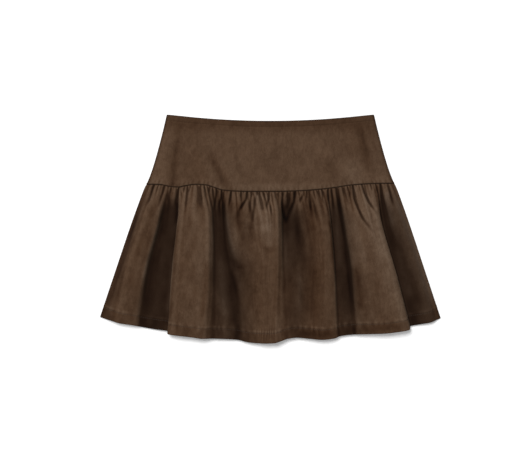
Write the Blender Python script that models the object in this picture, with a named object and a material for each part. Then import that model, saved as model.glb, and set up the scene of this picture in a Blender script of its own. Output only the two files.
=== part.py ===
"""A suede mini skirt with a fitted hip yoke and a gathered flounce, laid flat on its back.

Metres in the scene, millimetres in the tables. +Y points to the waist, +X to the right of the
front as it is looked down on, and +Z away from the surface that the skirt lies on. The origin is
the middle of the laid outline, on that surface.
"""

import math
from collections import namedtuple

import bmesh
import bpy
import numpy as np

MM = 0.001

# Laid outline, half widths from the centre line and heights on the page.
WAIST_HALF = 171.3
SEAM_HALF = 204.8
HEM_HALF = 281.8
HIP_CURVE = 5.7  # how far the yoke's side bows out of a straight line
SEAM_FLARE = 2.4  # and how much the seam allowances push its lower corner out
WAIST_SIDE = 188.4
WAIST_DIP = 10.9
SEAM_SIDE_LEFT = 73.3
SEAM_SIDE_RIGHT = 74.9
BACK_SEAM_DIP = 11.0
BACK_HEM_SIDE = -147.2
BACK_HEM_DIP = 28.0
BACK_WAIST_SHORT = 1.5  # the back's waist edge lies this much below the front's

# Cloth.
SEAM_GAP = 0.3
YOKE_WALL = 1.2
FLOUNCE_WALL = 1.0
HEM_TURN = 15.0  # depth of the hem's second layer
HEM_WALL = 2.0
FLOUNCE_LENGTH = 246.0

# How far the front yoke stands off the surface, to the middle of its wall.
YOKE_EDGE_RISE = 2.1
YOKE_PUFF = 3.6
YOKE_EDGE_ROLL = 9.0
YOKE_EDGE_COLUMNS = (-0.99, -0.975, 0.975, 0.99)  # more columns where the sides roll down
SEAM_RIDGE_RISE = 0.6  # the seam allowances, pressed up under the yoke
SEAM_RIDGE_DEPTH = 9.0
FLOUNCE_TUCK = 1.1  # the flounce's gathered edge lies this much under the yoke's

# Gathers: small ones at the seam, and broader ones that they run into.
GATHERS = 46
GATHER_HEIGHT = 1.75
GATHER_REACH = 30.0
GATHER_WANDER = 0.55  # how far they stray from even spacing, in gathers
HEIGHT_CHANGE = 0.3  # shares by which one gather differs from the next
REACH_CHANGE = 0.55
STITCHED_DOWN = 0.55  # the share of their height that the seam takes away
STITCHED_DEPTH = 8.0
BROAD_GATHERS = 19
BROAD_HEIGHT = 1.7
BROAD_REACH = 105.0
BROAD_START = 26.0
SIDE_PLAIN = 3.0  # no gathers this near a side, and full ones from SIDE_FULL on
SIDE_FULL = 12.0
SIDE_PUFF = 1.6  # the gathers push the flounce's sides out below the seam
SIDE_PUFF_DEPTH = 6.0
SIDE_PUFF_WIDTH = 12.0
BACK_GATHERS = 12  # in each half of the back
BACK_GATHER_LIFT = 0.8
BACK_GATHER_REACH = 40.0
BACK_STITCHED_DEPTH = 10.0
BACK_ZIP_PLAIN = 2.0  # no gathers this near the zip's tapes, and full ones from BACK_ZIP_FULL on
BACK_ZIP_FULL = 10.0
COLUMNS_PER_GATHER = 4
GATHER_EDGES = np.linspace(-SEAM_HALF, SEAM_HALF, GATHERS + 1)
WANDER = ((0.5, 17.0, 1.0), (0.3, 7.3, 2.1), (0.2, 4.1, 3.7))  # share, wave length, turn

# Zip in the centre back seam.
ZIP_LENGTH = 150.0
ZIP_TOP_GAP = 4.0  # from the back's waist edge to the top of the tapes
TAPE_WIDTH = 12.0
TAPE_THICKNESS = 1.0
SLIDER_LENGTH = 8.0
SLIDER_WIDTH = 5.4
SLIDER_THICKNESS = 1.7
SLIDER_SHAPE = ((0.72, -1.0), (1.0, 0.1), (0.86, 0.86), (0.4, 1.0))  # shares of its half sizes
STEM_WIDTH = 1.0
STEM_LENGTH = 2.4
TAB_LENGTH = 20.0
TAB_WIDTH = 4.4
TAB_THICKNESS = 0.9
TAB_LOW = 0.2
HINGE_FROM_WAIST = 9.0
CLEARANCE = 0.3
STEM_SLOT = (1.0, 5.0)  # past the stem's ends, where the back's slit starts and stops closing
SLIDER_SLOT = (1.0, 7.0)  # the same for the tapes, past the slider's ends
TAPE_BEND = 40.0  # length of the tapes, from their top, that follows the hollow over the tab
TAPE_ROWS = (11, 6)  # along that length and along the rest
TAPE_COLUMNS = 7
POCKET_LIFT = 1.4  # the back yoke lies over the tab in a shallow hollow
POCKET_FLAT = 3.2
POCKET_EDGE = 10.0
POCKET_TAIL = 20.0  # how far past the tab's tip the hollow runs out

SEAM_LINE = [  # the front seam, left to right: position across, height on the page
    (-204.8, SEAM_SIDE_LEFT),
    (-183.0, 72.8),
    (-166.0, 69.6),
    (-153.0, 68.6),
    (-139.5, 71.0),
    (-123.0, 73.0),
    (-106.5, 72.0),
    (-95.0, 68.8),
    (-80.0, 64.0),
    (-63.0, 62.1),
    (-33.0, 61.3),
    (8.0, 61.3),
    (49.5, 62.5),
    (83.0, 65.0),
    (107.5, 68.0),
    (132.5, 71.8),
    (157.5, 73.7),
    (182.5, 74.7),
    (204.8, SEAM_SIDE_RIGHT),
]

UPPER = 12.0  # heights on the page that the folds are given at, between the seam and the hem
LOWER = -72.0
Fold = namedtuple("Fold", "name seam upper lower hem rise_upper rise_lower rise_hem page_hem")
FOLDS = [  # positions across at each height, then rises off the surface, and the hem on the page
    Fold("left edge", -204.8, -227.5, -256.5, -281.8, 1.9, 1.9, 1.9, -146.2),
    Fold("left roll", -201.8, -224.0, -252.5, -277.0, 4.2, 4.0, 3.6, -147.7),
    Fold("A rise", -195.5, -216.5, -244.0, -264.5, 11.5, 11.0, 9.0, -151.1),
    Fold("A crest", -187.0, -206.5, -233.0, -249.0, 16.5, 16.8, 14.0, -155.4),
    Fold("A fall", -176.0, -187.0, -210.0, -224.5, 15.5, 15.0, 12.0, -159.4),
    Fold("valley 1 left", -168.0, -178.0, -198.5, -210.5, 5.4, 4.8, 5.0, -162.6),
    Fold("valley 1 floor", -159.5, -165.5, -181.0, -189.0, 5.2, 5.2, 5.6, -166.2),
    Fold("valley 1 tuck", -153.0, -154.5, -164.0, -170.4, 6.0, 6.0, 6.4, -169.1),
    Fold("B left edge", -148.0, -153.0, -162.5, -169.2, 14.5, 13.0, 13.0, -173.2),
    Fold("B left crest", -140.0, -145.0, -152.0, -159.0, 21.0, 19.5, 18.0, -174.8),
    Fold("B middle", -123.0, -122.0, -123.0, -129.0, 22.5, 22.0, 19.5, -178.3),
    Fold("B shoulder", -113.5, -103.5, -104.0, -111.5, 21.5, 20.5, 17.0, -180.9),
    Fold("B right edge", -107.0, -96.5, -96.5, -102.0, 15.0, 14.0, 13.0, -181.0),
    Fold("valley 2 foot", -101.0, -94.0, -90.5, -89.5, 5.4, 6.0, 8.6, -181.1),
    Fold("low ridge", -90.0, -84.0, -81.0, -76.5, 6.6, 8.8, 9.2, -181.6),
    Fold("valley 2 right", -80.0, -76.5, -65.0, -54.0, 4.8, 4.8, 7.6, -183.3),
    Fold("C rise", -70.0, -68.5, -52.5, -41.0, 12.0, 9.6, 10.4, -186.3),
    Fold("C left shoulder", -53.5, -50.0, -31.0, -23.5, 16.0, 13.8, 14.2, -188.2),
    Fold("C crest", -23.5, -13.5, -10.0, -8.5, 20.5, 19.5, 19.0, -188.4),
    Fold("C shoulder", 6.5, 11.5, 10.5, 7.5, 22.0, 20.5, 19.0, -187.8),
    Fold("C right edge", 14.5, 18.5, 18.5, 17.5, 15.5, 15.5, 16.0, -185.5),
    Fold("valley 3 foot", 21.5, 19.5, 22.0, 27.0, 7.0, 10.8, 12.4, -181.2),
    Fold("D hollow", 34.5, 41.0, 49.0, 43.0, 8.8, 11.0, 11.8, -179.5),
    Fold("D middle", 50.0, 58.5, 69.5, 63.0, 12.6, 12.6, 13.0, -180.9),
    Fold("D crest", 74.5, 84.5, 90.0, 86.0, 17.5, 16.8, 16.5, -182.5),
    Fold("D right edge", 86.5, 99.0, 105.0, 107.5, 12.5, 12.0, 13.0, -180.2),
    Fold("valley 4 left", 94.5, 100.5, 106.5, 114.0, 4.8, 4.8, 8.6, -177.2),
    Fold("valley 4 right", 110.5, 118.0, 130.0, 137.0, 4.6, 4.8, 9.0, -174.4),
    Fold("E rise", 116.0, 124.5, 137.0, 146.0, 13.0, 12.5, 12.5, -173.9),
    Fold("E left shoulder", 126.5, 139.0, 153.0, 165.0, 18.0, 17.0, 15.5, -173.2),
    Fold("E crest", 142.0, 158.0, 178.0, 188.0, 21.5, 20.5, 18.0, -172.1),
    Fold("E shoulder", 163.0, 174.0, 197.0, 218.0, 22.0, 22.5, 20.0, -168.2),
    Fold("E right edge", 171.0, 182.0, 206.0, 229.4, 15.5, 15.5, 14.5, -165.8),
    Fold("valley 5 left", 176.0, 183.5, 207.5, 230.6, 5.2, 5.6, 6.0, -160.8),
    Fold("valley 5 right", 183.5, 195.0, 220.5, 243.5, 5.2, 4.8, 5.0, -158.3),
    Fold("F crest", 192.5, 211.0, 240.0, 262.0, 12.5, 12.0, 9.5, -154.8),
    Fold("right roll", 201.8, 224.0, 252.5, 277.0, 4.4, 4.2, 3.6, -149.8),
    Fold("right edge", 204.8, 227.5, 256.0, 281.8, 1.9, 1.9, 1.9, -148.2),
]
FRONT_ROWS = (0.0, 0.025, 0.06, 0.11, 0.18, 0.28, 0.42, 0.6, 0.8, 0.932, 0.942, 1.0)
FRONT_YOKE_ROWS = (0.0, 0.12, 0.27, 0.42, 0.57, 0.72, 0.86, 0.93, 1.0)

Crease = namedtuple("Crease", "name x0 y0 x1 y1 width depth")
CREASE_TAPER = 0.6  # troughs, from one point on the page to another, run out towards their ends
YOKE_CREASES = [  # where the depth is less than 0, the crease is a puff
    Crease("slant over valley 2", -112.0, 134.0, -80.0, 66.0, 11.0, 2.3),
    Crease("left side", -148.0, 182.0, -166.0, 72.0, 10.0, 1.6),
    Crease("right side", 152.0, 172.0, 165.0, 98.0, 12.0, 1.4),
]
FLOUNCE_CREASES = [
    Crease("E long, upper", 137.5, 64.0, 149.0, 27.0, 4.5, 2.2),
    Crease("E long, lower", 147.0, 32.0, 177.0, -14.0, 4.5, 2.4),
    Crease("E short", 151.0, 69.0, 176.0, 22.0, 4.0, 2.4),
    Crease("C slant", -40.5, 50.0, -54.0, 27.0, 4.5, 2.2),
    Crease("C middle", -22.0, 56.0, -27.0, 12.0, 5.0, 1.6),
    Crease("C left puff", -55.0, 22.0, -54.0, -44.0, 11.0, -2.4),
    Crease("C right puff", -9.0, 38.0, -1.0, -18.0, 11.0, -1.6),
    Crease("pocket right of C", 27.0, 60.0, 26.0, 12.0, 6.5, 3.0),
    Crease("D upper", 66.0, 62.0, 76.0, 12.0, 4.5, 2.4),
    Crease("D slant", 41.0, 28.0, 55.0, -46.0, 8.0, 2.4),
    Crease("A upper", -196.0, 66.0, -212.0, 26.0, 5.0, 1.6),
]

BackFold = namedtuple("BackFold", "name seam hem height width")
BACK_FOLDS = [  # low folds of the back, which rise into the hollows of the front's
    BackFold("under A", -186.0, -247.0, 3.0, 11.0),
    BackFold("under B", -122.0, -138.0, 3.4, 14.0),
    BackFold("under C", -30.0, -26.0, 3.2, 14.0),
    BackFold("under D", 72.0, 84.0, 2.8, 11.0),
    BackFold("under E", 142.0, 188.0, 3.4, 14.0),
    BackFold("under F", 190.0, 256.0, 2.2, 9.0),
]
BACK_FOLD_TOP = 0.06  # shares of the length where they start to rise and are full
BACK_FOLD_FULL = 0.36
BACK_ROWS = (0.0, 0.05, 0.13, 0.25, 0.5, 0.8, 1.0)
BACK_YOKE_SHARES = (0.0, 0.017, 0.034, 0.055, 0.09, 0.16, 0.26, 0.38, 0.5, 0.62, 0.74, 0.86, 1.0)
BACK_YOKE_ROWS = (0.0, 0.025, 0.05, 0.075, 0.1, 0.14, 0.2, 0.27, 0.31, 0.35, 0.4, 0.6, 0.8, 1.0)

# How far the front's inner face keeps off the back's, more of it away from the sides.
INNER_ROOM = 0.9
INNER_ROOM_START = 4.0
INNER_ROOM_FULL = 12.0

Finish = namedtuple("Finish", "name colour roughness")
SUEDE = Finish("brown_suede", (0.078, 0.046, 0.028), 0.92)
TAPE = Finish("zip_tape_brown", (0.05, 0.032, 0.022), 0.85)
ENAMEL = Finish("zip_enamel_brown", (0.045, 0.028, 0.018), 0.4)
SMOOTH_ANGLE = 50.0


def smooth_step(value):
    """0 below 0, 1 above 1, with a soft start and end."""
    share = np.clip(value, 0.0, 1.0)
    return share * share * (3 - 2 * share)


def soft_curve(knots, values, at):
    """A cubic through the values that never swings past them, so crests stay round."""
    knots, values, at = (np.asarray(a, float) for a in (knots, values, at))
    steps = np.diff(knots)
    slopes = np.diff(values) / steps
    tangents = np.zeros(len(knots))
    same_way = slopes[:-1] * slopes[1:] > 0
    weight = steps[:-1] + 2 * steps[1:]
    other = 2 * steps[:-1] + steps[1:]
    safe = np.where(same_way, slopes[:-1], 1.0), np.where(same_way, slopes[1:], 1.0)
    tangents[1:-1] = np.where(
        same_way, (weight + other) / (weight / safe[0] + other / safe[1]), 0.0
    )
    tangents[0], tangents[-1] = slopes[0], slopes[-1]
    i = np.clip(np.searchsorted(knots, at) - 1, 0, len(steps) - 1)
    u = (at - knots[i]) / steps[i]
    return (
        values[i] * (1 + 2 * u) * (1 - u) ** 2
        + tangents[i] * steps[i] * u * (1 - u) ** 2
        + values[i + 1] * (3 - 2 * u) * u**2
        + tangents[i + 1] * steps[i] * u**2 * (u - 1)
    )


def uneven(position, shift):
    """A slow wander between -1 and 1 along the seam, a different one for each shift."""
    return sum(share * np.sin(position / length + turn * shift) for share, length, turn in WANDER)


def crease_depth(creases, x, y):
    """How far the troughs in the table press the cloth in at points on the page."""
    depth = np.zeros(np.broadcast(x, y).shape)
    for crease in creases:
        run_x, run_y = crease.x1 - crease.x0, crease.y1 - crease.y0
        along = ((x - crease.x0) * run_x + (y - crease.y0) * run_y) / (run_x**2 + run_y**2)
        share = np.clip(along, 0.0, 1.0)
        off = np.hypot(x - crease.x0 - share * run_x, y - crease.y0 - share * run_y)
        taper = (4 * share * (1 - share)) ** CREASE_TAPER
        depth += crease.depth * taper * np.exp(-((off / crease.width) ** 2))
    return depth


def front_seam(x):
    """Height on the page of the front seam, straight between one gather and the next."""
    across, up = zip(*SEAM_LINE)
    return np.interp(x, GATHER_EDGES, soft_curve(across, up, GATHER_EDGES))


def back_seam(x):
    share = x / SEAM_HALF
    sides = SEAM_SIDE_LEFT + (SEAM_SIDE_RIGHT - SEAM_SIDE_LEFT) * (share + 1) / 2
    return sides - BACK_SEAM_DIP * (1 - share**2)


def back_hem(x):
    return BACK_HEM_SIDE - BACK_HEM_DIP * (1 - (x / HEM_HALF) ** 2)


def waist(share):
    """Height on the page of the waist edge, at a share of its half width."""
    return WAIST_SIDE - WAIST_DIP * (1 - share**2)


def yoke_half_width(v):
    """Half width of the yoke, v down from the waist (0) to the seam (1)."""
    straight = WAIST_HALF + (SEAM_HALF - WAIST_HALF - HIP_CURVE - SEAM_FLARE) * v
    return straight + HIP_CURVE * v**2 + SEAM_FLARE * v**8


def yoke_rise(x, y, v):
    """Height of the middle of the front yoke's wall."""
    from_edge = yoke_half_width(v) - np.abs(x)
    puff = YOKE_PUFF * (1 - np.exp(-np.maximum(from_edge - 1.0, 0.0) / YOKE_EDGE_ROLL))
    ridge = SEAM_RIDGE_RISE * smooth_step(1.5 - (y - front_seam(x)) / SEAM_RIDGE_DEPTH)
    pressed = crease_depth(YOKE_CREASES, x, y) + 0 * x
    inside = smooth_step(from_edge / YOKE_EDGE_ROLL)
    return YOKE_EDGE_RISE + puff + (ridge - pressed) * inside


def front_yoke_sheet(shares, rows):
    """Middle points of the front yoke, a row of points for each v."""
    sheet = []
    for v in rows:
        x = shares * yoke_half_width(v)
        bottom = front_seam(shares * SEAM_HALF) + SEAM_GAP / 2
        y = waist(shares) * (1 - v) + bottom * v
        sheet.append(np.stack([x, y, yoke_rise(x, y, v)], axis=1))
    return np.array(sheet)


def gather_wave(seam_x, down):
    """How far the gathers lift the cloth off the fold below them, down millimetres from the seam."""
    spot = seam_x / (2 * SEAM_HALF)
    phase = GATHERS * spot + GATHER_WANDER * uneven(seam_x, 0.4)
    height = GATHER_HEIGHT * (1 + HEIGHT_CHANGE * uneven(seam_x, 1.7))
    reach = GATHER_REACH * (1 + REACH_CHANGE * uneven(seam_x, 2.9))
    grown = 1 - STITCHED_DOWN * (1 - smooth_step(down / STITCHED_DEPTH))
    small = height * grown * np.exp(-((down / reach) ** 1.4)) * np.cos(2 * math.pi * phase)
    broad_phase = BROAD_GATHERS * spot + GATHER_WANDER * uneven(seam_x, 5.2)
    broad_reach = BROAD_REACH * (1 + REACH_CHANGE * uneven(seam_x, 4.3))
    broad_grown = smooth_step(down / BROAD_START) * np.exp(-((down / broad_reach) ** 2))
    broad = BROAD_HEIGHT * broad_grown * np.cos(2 * math.pi * broad_phase)
    from_side = SEAM_HALF - np.abs(seam_x)
    return (small + broad) * smooth_step((from_side - SIDE_PLAIN) / (SIDE_FULL - SIDE_PLAIN))


def shares_down(fold):
    """The shares of the flounce's length at which the fold crosses the heights it is given at."""
    top = float(front_seam(fold.seam))
    length = top - fold.page_hem
    return 0.0, (top - UPPER) / length, (top - LOWER) / length, 1.0


def fold_profile(seam_x, t):
    """Points across the front flounce at a share t of its length, before the gathers."""
    knots = [fold.seam for fold in FOLDS]
    tops = yoke_rise(np.array(knots), front_seam(knots), 1.0) - FLOUNCE_TUCK
    tops = np.maximum(tops, FOLDS[0].rise_upper)
    across = [soft_curve(shares_down(fold), fold[1:5], t) for fold in FOLDS]
    rises = [soft_curve(shares_down(fold), (top, *fold[5:8]), t) for fold, top in zip(FOLDS, tops)]
    x = soft_curve(knots, across, seam_x)
    top_y = front_seam(seam_x) - SEAM_GAP / 2
    hem_y = soft_curve(knots, [fold.page_hem for fold in FOLDS], seam_x)
    y = top_y * (1 - t) + hem_y * t
    z = soft_curve(knots, rises, seam_x)
    puff = SIDE_PUFF * (1 - math.exp(-t * FLOUNCE_LENGTH / SIDE_PUFF_DEPTH)) * (1 - t)
    x += puff * np.sign(seam_x) * smooth_step((np.abs(seam_x) - SEAM_HALF) / SIDE_PUFF_WIDTH + 1)
    return np.stack([x, y, z], axis=1)


def front_flounce_sheet(seam_x, rows):
    """Middle points of the front flounce, a row of points for each share of its length."""
    sheet = []
    for t in rows:
        points = fold_profile(seam_x, t)
        run = np.gradient(points[:, 0])
        climb = np.gradient(points[:, 2])
        length = np.hypot(run, climb)
        wave = gather_wave(seam_x, t * FLOUNCE_LENGTH)
        from_side = SEAM_HALF - np.abs(seam_x)
        pressed = crease_depth(FLOUNCE_CREASES, points[:, 0], points[:, 1])
        held = min(1.0, t * FLOUNCE_LENGTH / SIDE_FULL)
        lift = wave - pressed * smooth_step(from_side / SIDE_FULL) * held
        points[:, 0] -= lift * climb / length
        points[:, 2] += lift * run / length
        sheet.append(points)
    return np.array(sheet)


def window(value, flat, edge):
    """1 within flat of 0, falling to exactly 0 at edge."""
    return 1 - smooth_step((np.abs(value) - flat) / (edge - flat))


def back_flounce_sheet(seam_x, rows):
    """Middle points of one half of the back flounce, flat on the surface between its folds."""
    sheet = []
    from_side = SEAM_HALF - np.abs(seam_x)
    near_side = smooth_step((from_side - SIDE_PLAIN) / (SIDE_FULL - SIDE_PLAIN))
    from_tape = np.abs(seam_x) - TAPE_WIDTH
    near_zip = smooth_step((from_tape - BACK_ZIP_PLAIN) / (BACK_ZIP_FULL - BACK_ZIP_PLAIN))
    phase = BACK_GATHERS * seam_x / SEAM_HALF + GATHER_WANDER * uneven(seam_x, 3.3)
    ripple = BACK_GATHER_LIFT * near_side * near_zip * (1 + np.cos(2 * math.pi * phase)) / 2
    for t in rows:
        half_width = SEAM_HALF + (HEM_HALF - SEAM_HALF) * t
        x = seam_x * half_width / SEAM_HALF
        x = np.where(np.abs(seam_x) < SEAM_GAP, seam_x, x)
        y = (back_seam(seam_x) - SEAM_GAP / 2) * (1 - t) + back_hem(x) * t
        down = t * FLOUNCE_LENGTH
        grown = (1 + smooth_step(down / BACK_STITCHED_DEPTH)) / 2
        lift = ripple * grown * (1 - smooth_step(down / BACK_GATHER_REACH))
        risen = smooth_step((t - BACK_FOLD_TOP) / (BACK_FOLD_FULL - BACK_FOLD_TOP))
        for fold in BACK_FOLDS:
            middle = fold.seam + (fold.hem - fold.seam) * t
            lift = np.maximum(lift, fold.height * risen * window(x - middle, 0.0, fold.width))
        sheet.append(np.stack([x, y, FLOUNCE_WALL / 2 + lift], axis=1))
    return np.array(sheet)


def back_waist(x):
    return waist(x / WAIST_HALF) - BACK_WAIST_SHORT


def pocket(x, y):
    """The hollow in which the zip's tab lies, under the back yoke at the waist's middle."""
    tip = back_waist(0.0) - HINGE_FROM_WAIST - TAB_LENGTH
    below = smooth_step((y - tip + POCKET_TAIL) / (POCKET_TAIL - TAB_WIDTH / 2))
    return POCKET_LIFT * window(x, POCKET_FLAT, POCKET_EDGE) * below


def at_slider(y, length, slot):
    """1 beside a piece of that length round the hinge, falling to 0 above and below it."""
    return window(y - (back_waist(0.0) - HINGE_FROM_WAIST), length / 2 + slot[0], length / 2 + slot[1])


def back_yoke_sheet(shares, rows, side):
    """Middle points of one half of the back yoke; side is -1 for the left and 1 for the right."""
    sheet = []
    for v in rows:
        outer = yoke_half_width(v)
        top = back_waist(side * shares * WAIST_HALF)
        bottom = back_seam(side * shares * SEAM_HALF) + SEAM_GAP / 2
        y = top * (1 - v) + bottom * v
        slot = CLEARANCE + STEM_WIDTH / 2 - SEAM_GAP / 2
        inner = SEAM_GAP / 2 + slot * at_slider(y, STEM_LENGTH, STEM_SLOT)
        x = side * (inner + (outer - inner) * shares)
        sheet.append(np.stack([x, y, YOKE_WALL / 2 + pocket(x, y)], axis=1))
    return np.array(sheet)


def tape_sheet(side):
    """Middle points of one zip tape, lying on the inner face of the back."""
    sheet = []
    top = back_waist(0.0) - ZIP_TOP_GAP
    bend = np.linspace(top, top - TAPE_BEND, TAPE_ROWS[0])
    rest = np.linspace(top - TAPE_BEND, top - ZIP_LENGTH, TAPE_ROWS[1])[1:]
    slot = SLIDER_WIDTH / 2 + CLEARANCE - SEAM_GAP / 2
    for y in np.concatenate([bend, rest]):
        inner = SEAM_GAP / 2 + slot * at_slider(y, SLIDER_LENGTH, SLIDER_SLOT)
        x = side * np.linspace(inner, TAPE_WIDTH, TAPE_COLUMNS)
        z = YOKE_WALL + pocket(x, y) + CLEARANCE + TAPE_THICKNESS / 2
        sheet.append(np.stack([x, np.full(len(x), y), z], axis=1))
    return np.array(sheet)


def sheet_normals(points):
    """The upward normal at each point of a sheet, kept off the neighbours at its cut edges."""
    across = np.gradient(points, axis=1)
    down = np.gradient(points, axis=0)
    normals = np.cross(down, across)
    normals[[0, -1], :, 1] = 0.0
    normals[:, [0, -1], 0] = 0.0
    return normals / np.linalg.norm(normals, axis=2, keepdims=True)


def wall_from_sheet(name, points, outer, inner, lowest, material):
    """A closed wall: the sheet moved outer along its normals, and moved inner against them.

    points go down the rows and left to right along each; lowest is the height that the
    inner face never goes below, one number or one for each point.
    """
    normals = sheet_normals(points)
    top = points + normals * outer
    bottom = points - normals * inner
    bottom[:, :, 2] = np.maximum(bottom[:, :, 2], lowest)
    rows, columns = points.shape[:2]
    mesh = bmesh.new()
    upper = [[mesh.verts.new(p * MM) for p in row] for row in top]
    under = [[mesh.verts.new(p * MM) for p in row] for row in bottom]
    for r in range(rows - 1):
        for c in range(columns - 1):
            mesh.faces.new([upper[r][c], upper[r + 1][c], upper[r + 1][c + 1], upper[r][c + 1]])
            mesh.faces.new([under[r][c], under[r][c + 1], under[r + 1][c + 1], under[r + 1][c]])
    rim = [(0, c) for c in range(columns)]
    rim += [(r, columns - 1) for r in range(1, rows)]
    rim += [(rows - 1, c) for c in range(columns - 2, -1, -1)]
    rim += [(r, 0) for r in range(rows - 2, 0, -1)]
    for (r0, c0), (r1, c1) in zip(rim, rim[1:] + rim[:1]):
        mesh.faces.new([upper[r0][c0], upper[r1][c1], under[r1][c1], under[r0][c0]])
    bmesh.ops.recalc_face_normals(mesh, faces=mesh.faces)
    return object_from_mesh(name, mesh, material)


def object_from_mesh(name, mesh, material):
    data = bpy.data.meshes.new(name)
    mesh.to_mesh(data)
    mesh.free()
    data.materials.append(material)
    data.shade_smooth()
    data.set_sharp_from_angle(angle=math.radians(SMOOTH_ANGLE))
    made = bpy.data.objects.new(name, data)
    bpy.context.scene.collection.objects.link(made)
    return made


def extruded(name, outline, low, high, material, origin=(0.0, 0.0, 0.0)):
    """A prism between two heights, over an outline given anticlockwise, both measured from its origin."""
    mesh = bmesh.new()
    base = mesh.faces.new([mesh.verts.new((x * MM, y * MM, low * MM)) for x, y in outline])
    grown = bmesh.ops.extrude_face_region(mesh, geom=[base])
    lifted = [v for v in grown["geom"] if isinstance(v, bmesh.types.BMVert)]
    bmesh.ops.translate(mesh, verts=lifted, vec=(0, 0, (high - low) * MM))
    bmesh.ops.recalc_face_normals(mesh, faces=mesh.faces)
    made = object_from_mesh(name, mesh, material)
    made.location = [length * MM for length in origin]
    return made


def material_for(finish):
    material = bpy.data.materials.new(finish.name)
    material.use_nodes = True
    shader = material.node_tree.nodes["Principled BSDF"]
    shader.inputs["Base Color"].default_value = (*finish.colour, 1.0)
    shader.inputs["Roughness"].default_value = finish.roughness
    shader.inputs["Metallic"].default_value = 0.0
    material.diffuse_color = (*finish.colour, 1.0)
    return material


def clear_of_back(x, half_width):
    """Height that the front's inner face keeps above: just over the back at the sides, more inside."""
    inside = (half_width - np.abs(x) - INNER_ROOM_START) / (INNER_ROOM_FULL - INNER_ROOM_START)
    return YOKE_WALL + CLEARANCE + INNER_ROOM * smooth_step(inside)


def build_front(suede):
    shares = np.union1d(GATHER_EDGES / SEAM_HALF, YOKE_EDGE_COLUMNS)
    yoke = front_yoke_sheet(shares, FRONT_YOKE_ROWS)
    edges = np.array([[yoke_half_width(v)] for v in FRONT_YOKE_ROWS])
    lowest = clear_of_back(yoke[:, :, 0], edges)
    wall_from_sheet("yoke_front", yoke, YOKE_WALL / 2, YOKE_WALL / 2, lowest, suede)

    seam_x = np.linspace(-SEAM_HALF, SEAM_HALF, GATHERS * COLUMNS_PER_GATHER + 1)
    flounce = front_flounce_sheet(seam_x, FRONT_ROWS)
    rows = np.array(FRONT_ROWS)[:, None]
    edges = SEAM_HALF + (HEM_HALF - SEAM_HALF) * rows
    lowest = clear_of_back(flounce[:, :, 0], edges) - (YOKE_WALL - FLOUNCE_WALL)
    turned_up = np.where(rows > 1 - HEM_TURN / FLOUNCE_LENGTH, HEM_WALL - FLOUNCE_WALL, 0.0)
    inner = (FLOUNCE_WALL / 2 + turned_up)[:, :, None]
    wall_from_sheet("flounce_front", flounce, FLOUNCE_WALL / 2, inner, lowest, suede)


def build_back(suede):
    for side, label in ((-1, "left"), (1, "right")):
        yoke = back_yoke_sheet(np.array(BACK_YOKE_SHARES), BACK_YOKE_ROWS, side)
        if side < 0:
            yoke = yoke[:, ::-1]
        wall_from_sheet(f"yoke_back_{label}", yoke, YOKE_WALL / 2, YOKE_WALL / 2, 0.0, suede)

        columns = BACK_GATHERS * COLUMNS_PER_GATHER + 1
        seam_x = side * np.linspace(SEAM_GAP / 2, SEAM_HALF, columns)
        flounce = back_flounce_sheet(np.sort(seam_x), BACK_ROWS)
        wall_from_sheet(f"flounce_back_{label}", flounce, FLOUNCE_WALL / 2, FLOUNCE_WALL / 2, 0.0, suede)


def build_zip(tape, metal):
    for side, label in ((-1, "left"), (1, "right")):
        strip = tape_sheet(side)
        if side < 0:
            strip = strip[:, ::-1]
        half = TAPE_THICKNESS / 2
        wall_from_sheet(f"zip_tape_{label}", strip, half, half, 0.0, tape)

    hinge = (0.0, back_waist(0.0) - HINGE_FROM_WAIST, TAB_LOW + TAB_THICKNESS / 2)
    build_slider(hinge, metal)
    build_tab(hinge, metal)


def build_slider(hinge, metal):
    """The slider, inside the skirt, and the stem that stands through the seam to carry the tab."""
    half, length = SLIDER_WIDTH / 2, SLIDER_LENGTH / 2
    right = [(x * half, y * length) for x, y in SLIDER_SHAPE]
    outline = right + [(-x, y) for x, y in reversed(right)]
    low = YOKE_WALL + POCKET_LIFT + CLEARANCE - hinge[2]
    body = extruded("zip_slider", outline, low, low + SLIDER_THICKNESS, metal, hinge)
    half, length = STEM_WIDTH / 2, STEM_LENGTH / 2
    corners = [(-half, -length), (half, -length), (half, length), (-half, length)]
    foot = -TAB_THICKNESS / 2
    stem = extruded("zip_stem_guide", corners, foot, low + SLIDER_THICKNESS / 2, metal, hinge)
    stem.hide_render = True
    stem.display_type = "WIRE"
    joined = body.modifiers.new("stem", "BOOLEAN")
    joined.operation = "UNION"
    joined.object = stem


def build_tab(hinge, metal):
    """The pull tab: a rounded plate whose top end forks round the slider's stem, turning on it."""
    half = TAB_WIDTH / 2
    fork = STEM_WIDTH / 2 + CLEARANCE
    fork_floor = -STEM_LENGTH / 2 - 2 * CLEARANCE
    shoulder = fork_floor - half
    arc = [math.pi * (1 + k / 8) for k in range(9)]
    outline = [(half * math.cos(a), half - TAB_LENGTH + half * math.sin(a)) for a in arc]
    outline += [(half, shoulder), (half - CLEARANCE, 0.0), (fork, 0.0), (fork, fork_floor)]
    outline += [(-fork, fork_floor), (-fork, 0.0), (CLEARANCE - half, 0.0), (-half, shoulder)]
    thick = TAB_THICKNESS / 2
    extruded("zip_pull_tab", outline, -thick, thick, metal, hinge)


def main():
    for old in list(bpy.data.objects):
        bpy.data.objects.remove(old)
    suede = material_for(SUEDE)
    build_front(suede)
    build_back(suede)
    build_zip(material_for(TAPE), material_for(ENAMEL))


main()
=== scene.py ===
import math
from collections import namedtuple

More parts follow.
